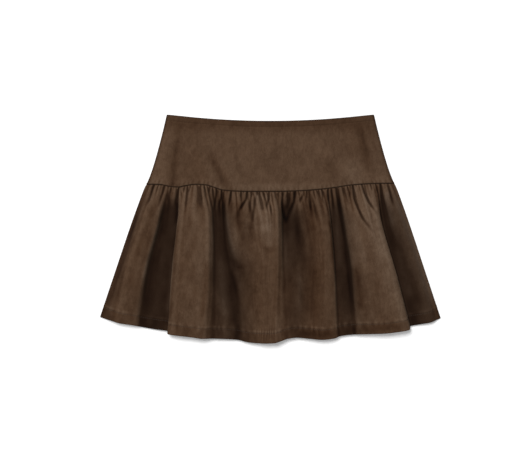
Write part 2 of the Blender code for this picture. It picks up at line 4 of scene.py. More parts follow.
import bmesh
import bpy
import numpy as np
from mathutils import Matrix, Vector


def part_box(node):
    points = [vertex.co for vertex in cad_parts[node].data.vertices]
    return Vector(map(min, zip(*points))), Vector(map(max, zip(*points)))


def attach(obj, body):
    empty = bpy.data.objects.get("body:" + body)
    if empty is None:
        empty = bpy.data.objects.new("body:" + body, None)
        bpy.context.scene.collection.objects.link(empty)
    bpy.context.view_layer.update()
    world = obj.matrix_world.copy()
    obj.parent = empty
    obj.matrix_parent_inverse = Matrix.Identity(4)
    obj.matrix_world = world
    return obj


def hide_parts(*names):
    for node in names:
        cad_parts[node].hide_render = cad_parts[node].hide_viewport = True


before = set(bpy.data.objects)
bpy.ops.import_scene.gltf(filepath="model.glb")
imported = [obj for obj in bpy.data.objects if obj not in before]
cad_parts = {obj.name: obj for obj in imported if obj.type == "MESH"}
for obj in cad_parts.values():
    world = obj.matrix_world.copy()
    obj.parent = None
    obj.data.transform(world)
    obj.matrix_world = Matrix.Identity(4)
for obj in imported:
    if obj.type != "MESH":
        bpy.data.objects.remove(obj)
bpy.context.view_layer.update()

mm = 0.001
print("frame: " + ", ".join(sorted(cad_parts)))

# Every table here is in mm on the page: x runs across from the centre line, and y up from the
# middle of the laid skirt.
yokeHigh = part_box("yoke_front")[1]
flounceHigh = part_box("flounce_front")[1]

skirt = {
    "waistHalf": 171.3,
    "waistSide": yokeHigh.y / mm,
    "waistDip": 10.9,
    "seamHalf": yokeHigh.x / mm,
    "hipCurve": 5.7,
    "seamFlare": 2.4,
    "seamLeft": 73.3,
    "seamRight": 74.9,
    "hemHalf": flounceHigh.x / mm,
    "flounceLength": 246.0,
    "gathers": 46,
    "yokeWall": 1.2,
    "flounceWall": 1.0,
    "hemTurn": 15.2,
    "backSeamDip": 11.0,
    "backHemSide": -147.2,
    "backHemDip": 28.0,
    "backWaistShort": 1.5,
    "halfGap": 0.15,
}
sides = ((-1, "left"), (1, "right"))
seamLine = [  # the front seam, left to right: x, y
    (-skirt["seamHalf"], skirt["seamLeft"]),
    (-183, 72.8), (-166, 69.6), (-153, 68.6), (-139.5, 71), (-123, 73), (-106.5, 72), (-95, 68.8),
    (-80, 64), (-63, 62.1), (-33, 61.3), (8, 61.3), (49.5, 62.5), (83, 65), (107.5, 68),
    (132.5, 71.8), (157.5, 73.7), (182.5, 74.7),
    (skirt["seamHalf"], skirt["seamRight"]),
]


def softStep(value):
    share = np.clip(value, 0.0, 1.0)
    return share * share * (3 - 2 * share)


def bell(offset, width):
    return np.exp(-((offset / width) ** 2))


def softCurve(knots, values, at):
    # a cubic through the values that never swings past them
    knots, values, at = (np.asarray(a, float) for a in (knots, values, at))
    steps = np.diff(knots)
    slopes = np.diff(values) / steps
    before, after = slopes[:-1], slopes[1:]
    sameWay = before * after > 0
    weight, other = steps[:-1] + 2 * steps[1:], 2 * steps[:-1] + steps[1:]
    before, after = np.where(sameWay, before, 1.0), np.where(sameWay, after, 1.0)
    inner = np.where(sameWay, (weight + other) / (weight / before + other / after), 0.0)
    tangents = np.concatenate([slopes[:1], inner, slopes[-1:]])
    i = np.clip(np.searchsorted(knots, at) - 1, 0, len(steps) - 1)
    u = (at - knots[i]) / steps[i]
    return (
        values[i] * (1 + 2 * u) * (1 - u) ** 2
        + tangents[i] * steps[i] * u * (1 - u) ** 2
        + values[i + 1] * (3 - 2 * u) * u**2
        + tangents[i + 1] * steps[i] * u**2 * (u - 1)
    )


def wander(position, shift):
    # a slow uneven wave between -1 and 1, a different one for each shift
    waves = ((0.5, 17.0, 1.0), (0.3, 7.3, 2.1), (0.2, 4.1, 3.7))
    return sum(share * np.sin(position / length + turn * shift) for share, length, turn in waves)


def dimples(x, y, across, seed, waves=9):
    # soft shallow unevenness, mostly between -1 and 1, with bumps about this far across
    dice = np.random.default_rng(seed)
    total = 0.0
    for _ in range(waves):
        angle = dice.uniform(0, math.tau)
        pitch = across * dice.uniform(1.2, 2.6)
        run = x * math.cos(angle) + y * math.sin(angle)
        total = total + np.sin(math.tau * run / pitch + dice.uniform(0, math.tau))
    return total / math.sqrt(waves)


creaseRow = namedtuple("creaseRow", "name held width depth path")
napAndShadePatch = namedtuple("napAndShadePatch", "name x y across down lean tone")
napAndShadeStroke = namedtuple("napAndShadeStroke", "name tone start end path")


def table(kind, *rows):
    return [kind(*row) for row in rows]


def spaced(stops, counts):
    # evenly spaced places from stop to stop, this many for each leg with both its ends
    legs = [np.linspace(a, b, count)[:-1] for a, b, count in zip(stops, stops[1:], counts)]
    return np.concatenate([*legs, stops[-1:]])


def nearestOn(path, x, y):
    # how far off a line of points each place is, and the share of the line at its nearest point
    points = np.array(path, float)
    legs = np.diff(points, axis=0)
    lengths = np.hypot(legs[:, 0], legs[:, 1])
    travelled = np.concatenate([[0], np.cumsum(lengths)])
    nearest = np.full(np.broadcast(x, y).shape, 1e9)
    share = np.zeros(nearest.shape)
    for k, (leg, length) in enumerate(zip(legs, lengths)):
        along = ((x - points[k, 0]) * leg[0] + (y - points[k, 1]) * leg[1]) / length**2
        along = np.clip(along, 0.0, 1.0)
        off = np.hypot(x - points[k, 0] - along * leg[0], y - points[k, 1] - along * leg[1])
        closer = off < nearest
        nearest = np.where(closer, off, nearest)
        share = np.where(closer, (travelled[k] + along * length) / travelled[-1], share)
    return nearest, share


def pressedIn(creases, x, y):
    # how far the creases press the cloth in, with a low swell beside each; a held one starts at a seam
    depth = np.zeros(np.broadcast(x, y).shape)
    for crease in creases:
        nearest, share = nearestOn(crease.path, x, y)
        fade = softStep((1 - share) / 0.5)
        if not crease.held:
            fade = fade * softStep(share / 0.3)
        width = crease.width * (0.8 + 0.5 * share)
        depth += crease.depth * fade * (bell(nearest, width) - 0.28 * bell(nearest, 2.6 * width))
    return depth


def frontSeam(x):
    across, up = zip(*seamLine)
    return softCurve(across, up, x)


def backSeam(x):
    share = x / skirt["seamHalf"]
    ends = skirt["seamLeft"] + (skirt["seamRight"] - skirt["seamLeft"]) * (share + 1) / 2
    return ends - skirt["backSeamDip"] * (1 - share**2)


def backHem(x):
    return skirt["backHemSide"] - skirt["backHemDip"] * (1 - (x / skirt["hemHalf"]) ** 2)


def waistLine(share):
    return skirt["waistSide"] - skirt["waistDip"] * (1 - share**2)


def yokeHalfWidth(v):
    # v runs down the yoke, from the waist at 0 to the seam at 1
    straight = skirt["seamHalf"] - skirt["waistHalf"] - skirt["hipCurve"] - skirt["seamFlare"]
    return skirt["waistHalf"] + straight * v + skirt["hipCurve"] * v**2 + skirt["seamFlare"] * v**8


def keptAbove(height, low, softness=0.4):
    over = height - low
    return low + (over + np.sqrt(over**2 + softness**2)) / 2


def clearOfBack(x, halfWidth):
    # lowest place for the front's inner face: on the back at the sides, a little over it inside
    fromSide = halfWidth - np.abs(x)
    return skirt["yokeWall"] + 1.2 * softStep((fromSide - 2.0) / 10.0)


# Cloth walls

def sheetNormals(points):
    across = np.gradient(points, axis=1)
    down = np.gradient(points, axis=0)
    normals = np.cross(down, across)
    return normals / np.linalg.norm(normals, axis=2, keepdims=True)


def rimOf(rows, columns):
    rim = [(0, c) for c in range(columns)]
    rim += [(r, columns - 1) for r in range(1, rows)]
    rim += [(rows - 1, c) for c in range(columns - 2, -1, -1)]
    rim += [(r, 0) for r in range(rows - 2, 0, -1)]
    return np.array(rim)


def linked(name, data):
    made = bpy.data.objects.new(name, data)
    bpy.context.scene.collection.objects.link(made)
    return made


def clothWall(name, outer, inner, materials, shades=None, rimTurns=(40, 90, 140)):
    # closed wall between two grids of points, rows down and columns to the right, with a rounded rim
    rows, columns = outer.shape[:2]
    count = rows * columns
    index = np.arange(count).reshape(rows, columns)
    quads = np.stack([index[:-1, :-1], index[1:, :-1], index[1:, 1:], index[:-1, 1:]], axis=2)
    quads = quads.reshape(-1, 4)
    rim = rimOf(rows, columns)
    top, under = outer[rim[:, 0], rim[:, 1]], inner[rim[:, 0], rim[:, 1]]
    middle, half = (top + under) / 2, (top - under) / 2
    along = np.roll(middle, -1, axis=0) - np.roll(middle, 1, axis=0)
    outward = np.cross(half, along)
    outward /= np.linalg.norm(outward, axis=1, keepdims=True)
    thick = np.linalg.norm(half, axis=1, keepdims=True)
    loops = [index[rim[:, 0], rim[:, 1]]]
    points = [outer.reshape(-1, 3), inner.reshape(-1, 3)]
    for k, turn in enumerate(rimTurns):
        a = math.radians(turn)
        points.append(middle + half * math.cos(a) + outward * thick * math.sin(a))
        loops.append(2 * count + k * len(rim) + np.arange(len(rim)))
    loops.append(loops[0] + count)
    bands = [np.stack([a, np.roll(a, -1), np.roll(b, -1), b], axis=1) for a, b in zip(loops, loops[1:])]
    faces = np.concatenate([quads, quads[:, ::-1] + count, *bands])
    data = bpy.data.meshes.new(name)
    data.from_pydata((np.concatenate(points) * mm).tolist(), [], faces.tolist())
    for material in materials:
        data.materials.append(material)
    face = np.zeros(len(faces), np.int32)
    face[len(quads):2 * len(quads)] = len(materials) - 1
    data.polygons.foreach_set("material_index", face)
    for shade, values in (shades or {}).items():
        edge = values[rim[:, 0], rim[:, 1]]
        spread = np.concatenate([values.ravel(), values.ravel(), *[edge] * len(rimTurns)])
        data.attributes.new(shade, "FLOAT", "POINT").data.foreach_set("value", spread.astype(np.float32))
    data.shade_smooth()
    return linked(name, data)


def standFor(piece, node, body="skirt"):
    # the piece moves with its body and stands for a solid of the part
    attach(piece, body)
    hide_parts(node)


def flatArea(points):
    # area of a sheet, in square metres
    a, b = np.diff(points[:-1], axis=1), np.diff(points[:, :-1], axis=0)
    return float(np.linalg.norm(np.cross(a, b), axis=2).sum()) * mm**2


def smoothed(values, reach, axis):
    # the mean of each value and this many to both sides of it
    count = values.shape[axis]
    padded = np.take(values, np.clip(np.arange(-reach, count + reach), 0, count - 1), axis)
    total = 0.0
    for shift in range(2 * reach + 1):
        total = total + np.take(padded, np.arange(shift, shift + count), axis)
    return total / (2 * reach + 1)


def patchedNapAndShade(patches, x, y):
    # painted highlight above 0 and painted shade below it, in soft patches, with the nap's own tone;
    # lean is how far x moves for each mm down
    tone = np.zeros(np.broadcast(x, y).shape)
    for patch in patches:
        down = patch.y - y
        off = (x - patch.x - patch.lean * down) / patch.across
        tone += patch.tone * np.exp(-(off**2) - np.abs(down / patch.down) ** 3)
    return tone


def strokedNapAndShade(strokes, x, y):
    # painted shade and highlight along lines, with the nap's own tone, each fading at both ends
    # and changing from one width to the other
    tone = np.zeros(np.broadcast(x, y).shape)
    for stroke in strokes:
        off, share = nearestOn(stroke.path, x, y)
        width = stroke.start + (stroke.end - stroke.start) * share
        fade = softStep((share + 0.06) / 0.16) * softStep((1.04 - share) / 0.22)
        tone += stroke.tone * fade * bell(off, width)
    return tone


def highestWithin(height, reach):
    # the highest cloth within this many columns, before each point and after it
    found = []
    for way in (-1, 1):
        highest = height
        for shift in range(1, reach + 1):
            moved = np.clip(np.arange(height.shape[1]) + way * shift, 0, height.shape[1] - 1)
            highest = np.maximum(highest, height[:, moved])
        found.append(highest)
    return found


def shadesOf(height, reach, depth, line=0.0, nap=0.0, pressed=0.0):
    # for each point, what its colour is painted from: how hollow it lies between the folds, the gathers and
    # the pressed creases, as painted shade; how far it stands out and is rubbed, as rubbed wear and painted
    # highlight on ridges and painted shade in small troughs; its nap's tone with painted shade and
    # highlights; and how deep it lies in a seam's or stitch's own line
    around = smoothed(np.maximum(*highestWithin(height, reach)), reach // 2, 1)
    # painted shade where the cloth lies below the folds around it
    broad = softStep((around - height - 1.5) / depth)
    between = np.minimum(*highestWithin(height, 8)) - height
    # painted shade in the small troughs between the gathers
    fine = 0.62 * softStep(between / 1.5)
    hollow = 1 - (1 - broad) * (1 - fine) * (1 - np.clip(pressed, 0.0, 0.9))
    ridge = height - smoothed(smoothed(height, 5, 1), 1, 0)
    # lighter on ridges as rubbed wear and painted highlight, darker in small troughs as painted shade
    wearAndPaintedShade = np.clip(ridge / 0.5, -1.0, 1.0)
    return {"hollow": hollow, "wearAndPaintedShade": wearAndPaintedShade, "nap": nap + 0 * height, "line": line + 0 * height}


# Materials

def newMaterial(name):
    material = bpy.data.materials.new(name)
    material.use_nodes = True
    tree = material.node_tree
    return material, tree, tree.nodes["Principled BSDF"]


def feed(node, inputs):
    # each input is a value or the output of another node
    for key, value in inputs.items():
        if isinstance(value, bpy.types.NodeSocket):
            node.id_data.links.new(value, node.inputs[key])
        else:
            node.inputs[key].default_value = value


def nodeOf(tree, kind, inputs=None, **settings):
    made = tree.nodes.new(kind)
    for key, value in settings.items():
        setattr(made, key, value)
    feed(made, inputs or {})
    return made


def mathOf(tree, operation, a, b=0.0, c=0.0):
    return nodeOf(tree, "ShaderNodeMath", {0: a, 1: b, 2: c}, operation=operation).outputs[0]


def mixOf(tree, factor, a, b, blend="MIX"):
    mix = nodeOf(tree, "ShaderNodeMix", {0: factor, 6: a, 7: b}, data_type="RGBA", blend_type=blend)
    return mix.outputs[2]


def ranged(tree, value, low, high, toLow=0.0, toHigh=1.0):
    inputs = {"Value": value, "From Min": low, "From Max": high, "To Min": toLow, "To Max": toHigh}
    return nodeOf(tree, "ShaderNodeMapRange", inputs, interpolation_type="SMOOTHSTEP").outputs[0]


def placeOf(tree, stretch=(1, 1, 1), turn=0.0):
    place = nodeOf(tree, "ShaderNodeTexCoord").outputs["Object"]
    inputs = {"Vector": place, "Scale": stretch, "Rotation": (0, 0, math.radians(turn))}
    return nodeOf(tree, "ShaderNodeMapping", inputs).outputs[0]


def noiseOf(tree, place, size, detail=2.0, roughness=0.5, distortion=0.0):
    # size is about how far across one cloud is, in mm
    return nodeOf(tree, "ShaderNodeTexNoise", {
        "Vector": place,
        "Scale": 0.6 / (size * mm),
        "Detail": detail,
        "Roughness": roughness,
        "Distortion": distortion,
    }).outputs["Fac"]


def waveOf(tree, pitch, turn=0.0, distortion=0.0, bands="X"):
    # pitch is how far apart its ribs are, in mm
    inputs = {"Vector": placeOf(tree, turn=turn), "Scale": 0.31 / (pitch * mm), "Distortion": distortion}
    return nodeOf(tree, "ShaderNodeTexWave", inputs, bands_direction=bands).outputs["Fac"]


def attributeOf(tree, name):
    return nodeOf(tree, "ShaderNodeAttribute", attribute_name=name).outputs["Fac"]


def finished(tree, shader, colour, height, depth, inputs):
    # the shader with its colour, a bump this many mm deep and other inputs
    bump = nodeOf(tree, "ShaderNodeBump", {"Strength": 1.0, "Distance": depth * mm, "Height": height})
    feed(shader, {"Base Color": colour, "Normal": bump.outputs[0], **inputs})


def toned(tree, tone, look):
    return mixOf(tree, tone, (*look["dark"], 1), (*look["light"], 1))


suedeLook = {
    "dark": (0.05, 0.0262, 0.0138),
    "light": (0.103, 0.0608, 0.0362),
    # the colour of the painted shade in the hollows between folds, gathers and creases
    "deep": (0.0105, 0.0043, 0.0019),
    # the colour of the seam and stitch lines, and of the painted shade along the yoke's edges
    "seam": (0.0055, 0.0024, 0.0014),
    "cloudSize": 26.0,
    "blotchSize": 8.0,
    "napSize": 2.2,
    "fibreSize": 0.5,
    "toneShares": (0.2, 0.2, 0.32, 0.28),  # of clouds, blotches, nap and fibres
    "toneLows": (0.3, 0.32, 0.3, 0.3),
    "paintedHollowShade": 0.85,
    "ridgeWearAndShadeShare": 0.25,
    "shadePowers": (1.0, 1.3, 1.6),  # for red, green and blue: the darker the painted shade and the nap's tone, the warmer
    "roughness": 0.93,
    "shine": 0.08,
    "sheen": 0.06,
    "sheenTint": (0.9, 0.62, 0.42),
    "fibreDepth": 0.16,
    "napDepth": 1.2,  # times that of the fibres
}


def suedeMaterial():
    look = suedeLook
    material, tree, shader = newMaterial("brownSuede")
    place = placeOf(tree)
    clouds = noiseOf(tree, place, look["cloudSize"], 3.0, 0.55, 0.6)
    blotches = noiseOf(tree, place, look["blotchSize"], 3.0, 0.6, 0.4)
    nap = noiseOf(tree, placeOf(tree, (1.0, 0.42, 1.0), 8.0), look["napSize"], 3.0, 0.6, 0.8)
    fibres = noiseOf(tree, placeOf(tree, (1.0, 0.55, 1.0), 14.0), look["fibreSize"], 2.0, 0.6, 0.3)
    tone = 0.0
    grains = (clouds, blotches, nap, fibres)
    for grain, share, low in zip(grains, look["toneShares"], look["toneLows"]):
        tone = mathOf(tree, "MULTIPLY_ADD", ranged(tree, grain, low, 1 - low), share, tone)
    colour = toned(tree, tone, look)
    # painted shade: hollows between folds, gathers and creases mix towards the deep colour
    hollow = mathOf(tree, "MULTIPLY", attributeOf(tree, "hollow"), look["paintedHollowShade"])
    colour = mixOf(tree, hollow, colour, (*look["deep"], 1))
    # rubbed wear and painted highlight on ridges, painted shade in small troughs, then the nap's tone with
    # its painted shade and highlights
    shade = mathOf(tree, "MULTIPLY_ADD", attributeOf(tree, "wearAndPaintedShade"), look["ridgeWearAndShadeShare"], 1.0)
    shade = mathOf(tree, "ADD", attributeOf(tree, "nap"), shade)
    powers = [mathOf(tree, "POWER", shade, power) for power in look["shadePowers"]]
    warm = nodeOf(tree, "ShaderNodeCombineColor", dict(enumerate(powers)))
    colour = mixOf(tree, 1.0, colour, warm.outputs[0], "MULTIPLY")
    # the seam and stitch lines, and the painted shade along the yoke's edges
    colour = mixOf(tree, attributeOf(tree, "line"), colour, (*look["seam"], 1))
    height = mathOf(tree, "MULTIPLY_ADD", nap, look["napDepth"], fibres)
    finished(tree, shader, colour, height, look["fibreDepth"], {
        "Roughness": look["roughness"],
        "Specular IOR Level": look["shine"],
        "Sheen Weight": look["sheen"],
        "Sheen Roughness": 0.5,
        "Sheen Tint": (*look["sheenTint"], 1),
    })
    return material


backingLook = {
    "dark": (0.052, 0.031, 0.019),
    "light": (0.078, 0.05, 0.033),
    "knit": 0.9,
    "knitDepth": 0.12,
    "cloudSize": 6.0,
    "roughness": 0.95,
    "shine": 0.2,
}


def backingMaterial():
    look = backingLook
    material, tree, shader = newMaterial("suedeBacking")
    wales = waveOf(tree, look["knit"], distortion=1.2)
    colour = toned(tree, noiseOf(tree, placeOf(tree), look["cloudSize"], 4.0), look)
    finished(tree, shader, colour, wales, look["knitDepth"], {
        "Roughness": look["roughness"],
        "Specular IOR Level": look["shine"],
    })
    return material


threadLook = {
    "dark": (0.03, 0.017, 0.0098),
    "light": (0.06, 0.036, 0.022),
    "ply": 0.5,
    "plyTurn": 35.0,
    "plyDepth": 0.05,
    "roughness": 0.6,
}


def threadMaterial():
    look = threadLook
    material, tree, shader = newMaterial("brownThread")
    twist = waveOf(tree, look["ply"], turn=look["plyTurn"])
    colour = toned(tree, twist, look)
    finished(tree, shader, colour, twist, look["plyDepth"], {"Roughness": look["roughness"]})
    return material


tapeLook = {
    "dark": (0.036, 0.022, 0.015),
    "light": (0.062, 0.041, 0.029),
    "rib": 0.8,
    "ribShare": 0.6,
    "ribDepth": 0.12,
    "cloudSize": 1.5,
    "roughness": 0.82,
}


def tapeMaterial():
    look = tapeLook
    material, tree, shader = newMaterial("zipTapeWeave")
    ribs = waveOf(tree, look["rib"], bands="DIAGONAL")
    cloud = noiseOf(tree, placeOf(tree), look["cloudSize"])
    colour = toned(tree, mathOf(tree, "MULTIPLY_ADD", ribs, look["ribShare"], cloud), look)
    finished(tree, shader, colour, ribs, look["ribDepth"], {"Roughness": look["roughness"]})
    return material


enamelLook = {
    "dark": (0.034, 0.021, 0.014),
    "light": (0.055, 0.035, 0.023),
    "chipSize": 0.9,
    "chipDepth": 0.02,
    "smooth": 0.3,
    "rough": 0.48,
    "coat": 0.25,
    "coatRoughness": 0.2,
}


def enamelMaterial():
    look = enamelLook
    material, tree, shader = newMaterial("brownEnamel")
    cloud = noiseOf(tree, placeOf(tree), look["chipSize"], 4.0, 0.6)
    finished(tree, shader, toned(tree, cloud, look), cloud, look["chipDepth"], {
        "Roughness": ranged(tree, cloud, 0.3, 0.7, look["smooth"], look["rough"]),
        "Coat Weight": look["coat"],
        "Coat Roughness": look["coatRoughness"],
    })
    return material


suede = suedeMaterial()
backing = backingMaterial()
thread = threadMaterial()
tapeWeave = tapeMaterial()
enamel = enamelMaterial()
print("materials made")


# Camera, lights and floor

studio = {
    "pixel": 1.66,  # mm on the floor for each pixel of the photo
    "frameWidth": 515,
    "cameraHeight": 1700.0,
    "cameraX": -21.3,
    "cameraY": -15.0,
    "floorDrop": 0.5,
    "floorHalf": 9000.0,
    "keyPlace": (-1100.0, 1500.0, 3900.0),
    "keySize": 2000.0,
    "keyPower": 172.0,
    "fill": 0.28,
    "floorShade": 0.93,
    "floorRoughness": 0.9,
    "floorGlow": 0.2,
}


def makeStudio():
    scene = bpy.context.scene
    scene.view_settings.view_transform = "Standard"
    camera = bpy.data.cameras.new("overhead")
    camera.lens = camera.sensor_width * studio["cameraHeight"] / (studio["frameWidth"] * studio["pixel"])
    scene.camera = linked("overhead", camera)
    scene.camera.location = Vector((studio["cameraX"], studio["cameraY"], studio["cameraHeight"])) * mm

    key = bpy.data.lights.new("softKey", "AREA")
    key.shape = "DISK"
    key.size = studio["keySize"] * mm
    key.energy = studio["keyPower"]
    lamp = linked("softKey", key)
    lamp.location = Vector(studio["keyPlace"]) * mm
    lamp.rotation_euler = (-lamp.location).to_track_quat("-Z", "Y").to_euler()

    world = bpy.data.worlds.new("softFill")
    world.use_nodes = True
    feed(world.node_tree.nodes["Background"], {"Color": (1, 1, 1, 1), "Strength": studio["fill"]})
    scene.world = world

    reach, low = studio["floorHalf"] * mm, -studio["floorDrop"] * mm
    data = bpy.data.meshes.new("floor")
    corners = [(-reach, -reach, low), (reach, -reach, low), (reach, reach, low), (-reach, reach, low)]
    data.from_pydata(corners, [], [(0, 1, 2, 3)])
    paper, _, shader = newMaterial("palePaper")
    feed(shader, {
        "Base Color": (*[studio["floorShade"]] * 3, 1),
        "Roughness": studio["floorRoughness"],
        "Emission Color": (1, 1, 1, 1),
        "Emission Strength": studio["floorGlow"],
    })
    data.materials.append(paper)
    linked("floor", data)


makeStudio()
print("studio set")


# Front yoke

yoke = {
    "columns": 300,
    "edgeRise": 1.8,
    "puff": 3.9,
    "edgeRoll": 9.0,
    "ridge": 0.7,  # the seam allowances under its lower edge
    "ridgeDepth": 9.0,
    "rollDown": 1.0,  # its lower edge turns down into the seam
    "rollWidth": 1.0,
    "waistLine": 8.6,  # the faint line where the waist edge is turned in
    "waistDent": 0.28,
    "waistRoll": 0.3,
    "gatherShow": 0.22,  # the flounce's gathers show through the allowances
    "unevenness": 0.22,
    "dimpleSize": 24.0,
    "grain": 0.06,
    "grainSize": 7.0,
    "sideFade": 12.0,
    "seamLine": 0.95,  # how dark its seam and its turned-in line are drawn, and the painted shade along its edges where the cloth rolls under
    "turnLine": 0.12,
    "waistEdgePaintedShade": 0.45,
    "sideEdgePaintedShade": 0.4,
}
yokeCreases = table(
    creaseRow,
    ("slant over the second fold", False, 9, 0.9, [(-106, 134), (-95, 112), (-70, 64), (-45, 16)]),
    ("left side", False, 9, 1.2, [(-149, 182), (-156, 128), (-163, 66), (-168, 4)]),
    ("right side", False, 10, 1.7, [(146, 174), (153, 146), (162, 114), (171, 84)]),
    ("middle dent", False, 14, 0.9, [(20, 150), (6, 120), (12, 88)]),
    ("left middle", False, 8, 0.6, [(-60, 128), (-52, 100), (-40, 76)]),
    ("right of middle", False, 10, 0.8, [(92, 122), (100, 96), (112, 74)]),
)
# painted shade and highlight along lines on the yoke, with the nap's own tone
yokeNapAndShadeStrokes = table(
    napAndShadeStroke,
    ("left dent", -0.12, 6, 8, [(-150, 176), (-157, 128), (-163, 84), (-166, 40)]),
    ("slant", -0.15, 5, 9, [(-97, 124), (-85, 98), (-66, 66), (-52, 40)]),
    ("slant's fine line", -0.07, 2.5, 2.5, [(-104, 128), (-93, 106), (-74, 66), (-60, 40)]),
    ("beside the slant", 0.07, 5, 5, [(-112, 118), (-103, 98), (-88, 66), (-74, 40)]),
    ("right dent", -0.12, 6, 8, [(148, 168), (155, 138), (168, 92)]),
    ("second right dent", -0.13, 3.5, 4.5, [(161, 172), (168, 150), (177, 122)]),
)
# soft patches of painted shade and highlight on the yoke, with the nap's own tone
yokeNapAndShade = table(
    napAndShadePatch,
    ("dull top", 0, 180, 260, 18, 0, -0.36),
    ("pale right end", 138, 92, 20, 26, 0.15, 0.26),
    ("pale right of the dent", 176, 96, 10, 34, 0.35, 0.12),
    ("dull right", 150, 136, 18, 40, 0.27, -0.16),
    ("pale above the seam", 0, 68, 110, 7, 0, 0.2),
    ("pale left of the seam", -188, 80, 22, 9, -0.2, 0.08),
    ("dull left", -150, 110, 22, 50, -0.2, -0.09),
    ("pale left of the dent", -172, 122, 8, 30, -0.3, 0.05),
    ("dull patch", 96, 98, 20, 15, 0, -0.1),
    ("pale right of the slant", -62, 92, 12, 22, 0.6, 0.06),
    ("dull left of the slant", -118, 96, 20, 30, 0, -0.13),
    ("dull upper left", -128, 168, 12, 18, 0, -0.06),
)


def yokeRise(x, y, v):
    fromEdge = yokeHalfWidth(v) - np.abs(x)
    puff = yoke["puff"] * (1 - np.exp(-np.maximum(fromEdge - 1.0, 0.0) / yoke["edgeRoll"]))
    fromSeam = y - frontSeam(x)
    ridge = yoke["ridge"] * softStep(1.5 - fromSeam / yoke["ridgeDepth"])
    return yoke["edgeRise"] + puff + ridge * softStep(fromEdge / yoke["edgeRoll"])


def gatherWave(seamX, gathers, shift):
    phase = gathers * seamX / (2 * skirt["seamHalf"]) + 0.55 * wander(seamX, shift)
    return np.cos(math.tau * phase)


def frontYokeSheet():
    # the columns crowd towards the sides, and the rows v towards the waist and the seam
    spread = np.linspace(-1, 1, yoke["columns"])
    shares = spread * (1.0 + 0.12 * (1 - spread**2))
    v = spaced((0, 0.075, 0.9, 0.985, 1), (15, 56, 16, 6))[:, None]
    x = shares * yokeHalfWidth(v)
    bottom = frontSeam(shares * skirt["seamHalf"]) + skirt["halfGap"]
    y = waistLine(shares) * (1 - v) + bottom * v
    fromWaist, fromSeam = waistLine(shares) - y, y - bottom
    fromEdge = yokeHalfWidth(v) - np.abs(x)
    inside = softStep(fromEdge / yoke["sideFade"])
    height = yokeRise(x, y, v)
    seamX = shares * skirt["seamHalf"] + 0 * v
    show = gatherWave(seamX, skirt["gathers"], 0.4) * (1 + 0.5 * wander(seamX, 1.1))
    show = show * bell(fromSeam - 3.5, 4.0)
    pucker = gatherWave(seamX, 78, 2.3) * bell(fromSeam, 3.0)
    height += inside * (yoke["gatherShow"] * show + 0.12 * pucker - pressedIn(yokeCreases, x, y))
    height += inside * yoke["unevenness"] * dimples(x, y, yoke["dimpleSize"], 5)
    height += inside * yoke["grain"] * dimples(x, y, yoke["grainSize"], 9)
    height -= yoke["rollDown"] * bell(fromSeam, yoke["rollWidth"])
    height += yoke["waistRoll"] * bell(fromWaist - 4.6, 2.6) - 0.35 * np.exp(-fromWaist / 0.9)
    dent = bell(fromWaist - yoke["waistLine"] - 0.25 * wander(x, 3.0), 0.75)
    height -= yoke["waistDent"] * dent * softStep(fromEdge / 3.0)
    return np.stack([x, y, height], axis=2), yokeHalfWidth(v)


def makeFrontYoke():
    middle, halfWidth = frontYokeSheet()
    normals = sheetNormals(middle)
    half = skirt["yokeWall"] / 2
    outer, inner = middle + normals * half, middle - normals * half
    inner[:, :, 2] = np.maximum(inner[:, :, 2], clearOfBack(inner[:, :, 0], halfWidth))
    outer[:, :, 2] = np.maximum(outer[:, :, 2], inner[:, :, 2] + 0.8)
    x, y = outer[:, :, 0], outer[:, :, 1]
    fromSeam = y - frontSeam(x)
    fromWaist = waistLine(x / yokeHalfWidth(0.0)) - y
    line = yoke["seamLine"] * bell(fromSeam, 0.75)
    line = line + yoke["turnLine"] * bell(fromWaist - yoke["waistLine"], 0.9)
    # painted shade along the waist edge and the side edges, where the cloth rolls under
    line = line + yoke["waistEdgePaintedShade"] * np.exp(-np.maximum(fromWaist, 0.0) / 0.9)
    line = line + yoke["sideEdgePaintedShade"] * np.exp(-np.maximum(halfWidth - np.abs(x), 0.0) / 0.9)
    # painted shade along the creases
    pressed = pressedIn(yokeCreases, x, y) / 8.0
    # the nap's tone with painted shade and highlights from the tables above
    nap = patchedNapAndShade(yokeNapAndShade, x, y) + strokedNapAndShade(yokeNapAndShadeStrokes, x, y)
    shades = shadesOf(outer[:, :, 2], 20, 9.0, np.clip(line, 0, 1), nap, pressed)
    piece = clothWall("yoke_front_suede", outer, inner, [suede, backing], shades)
    standFor(piece, "yoke_front")
    return piece, flatArea(middle)


# Front flounce

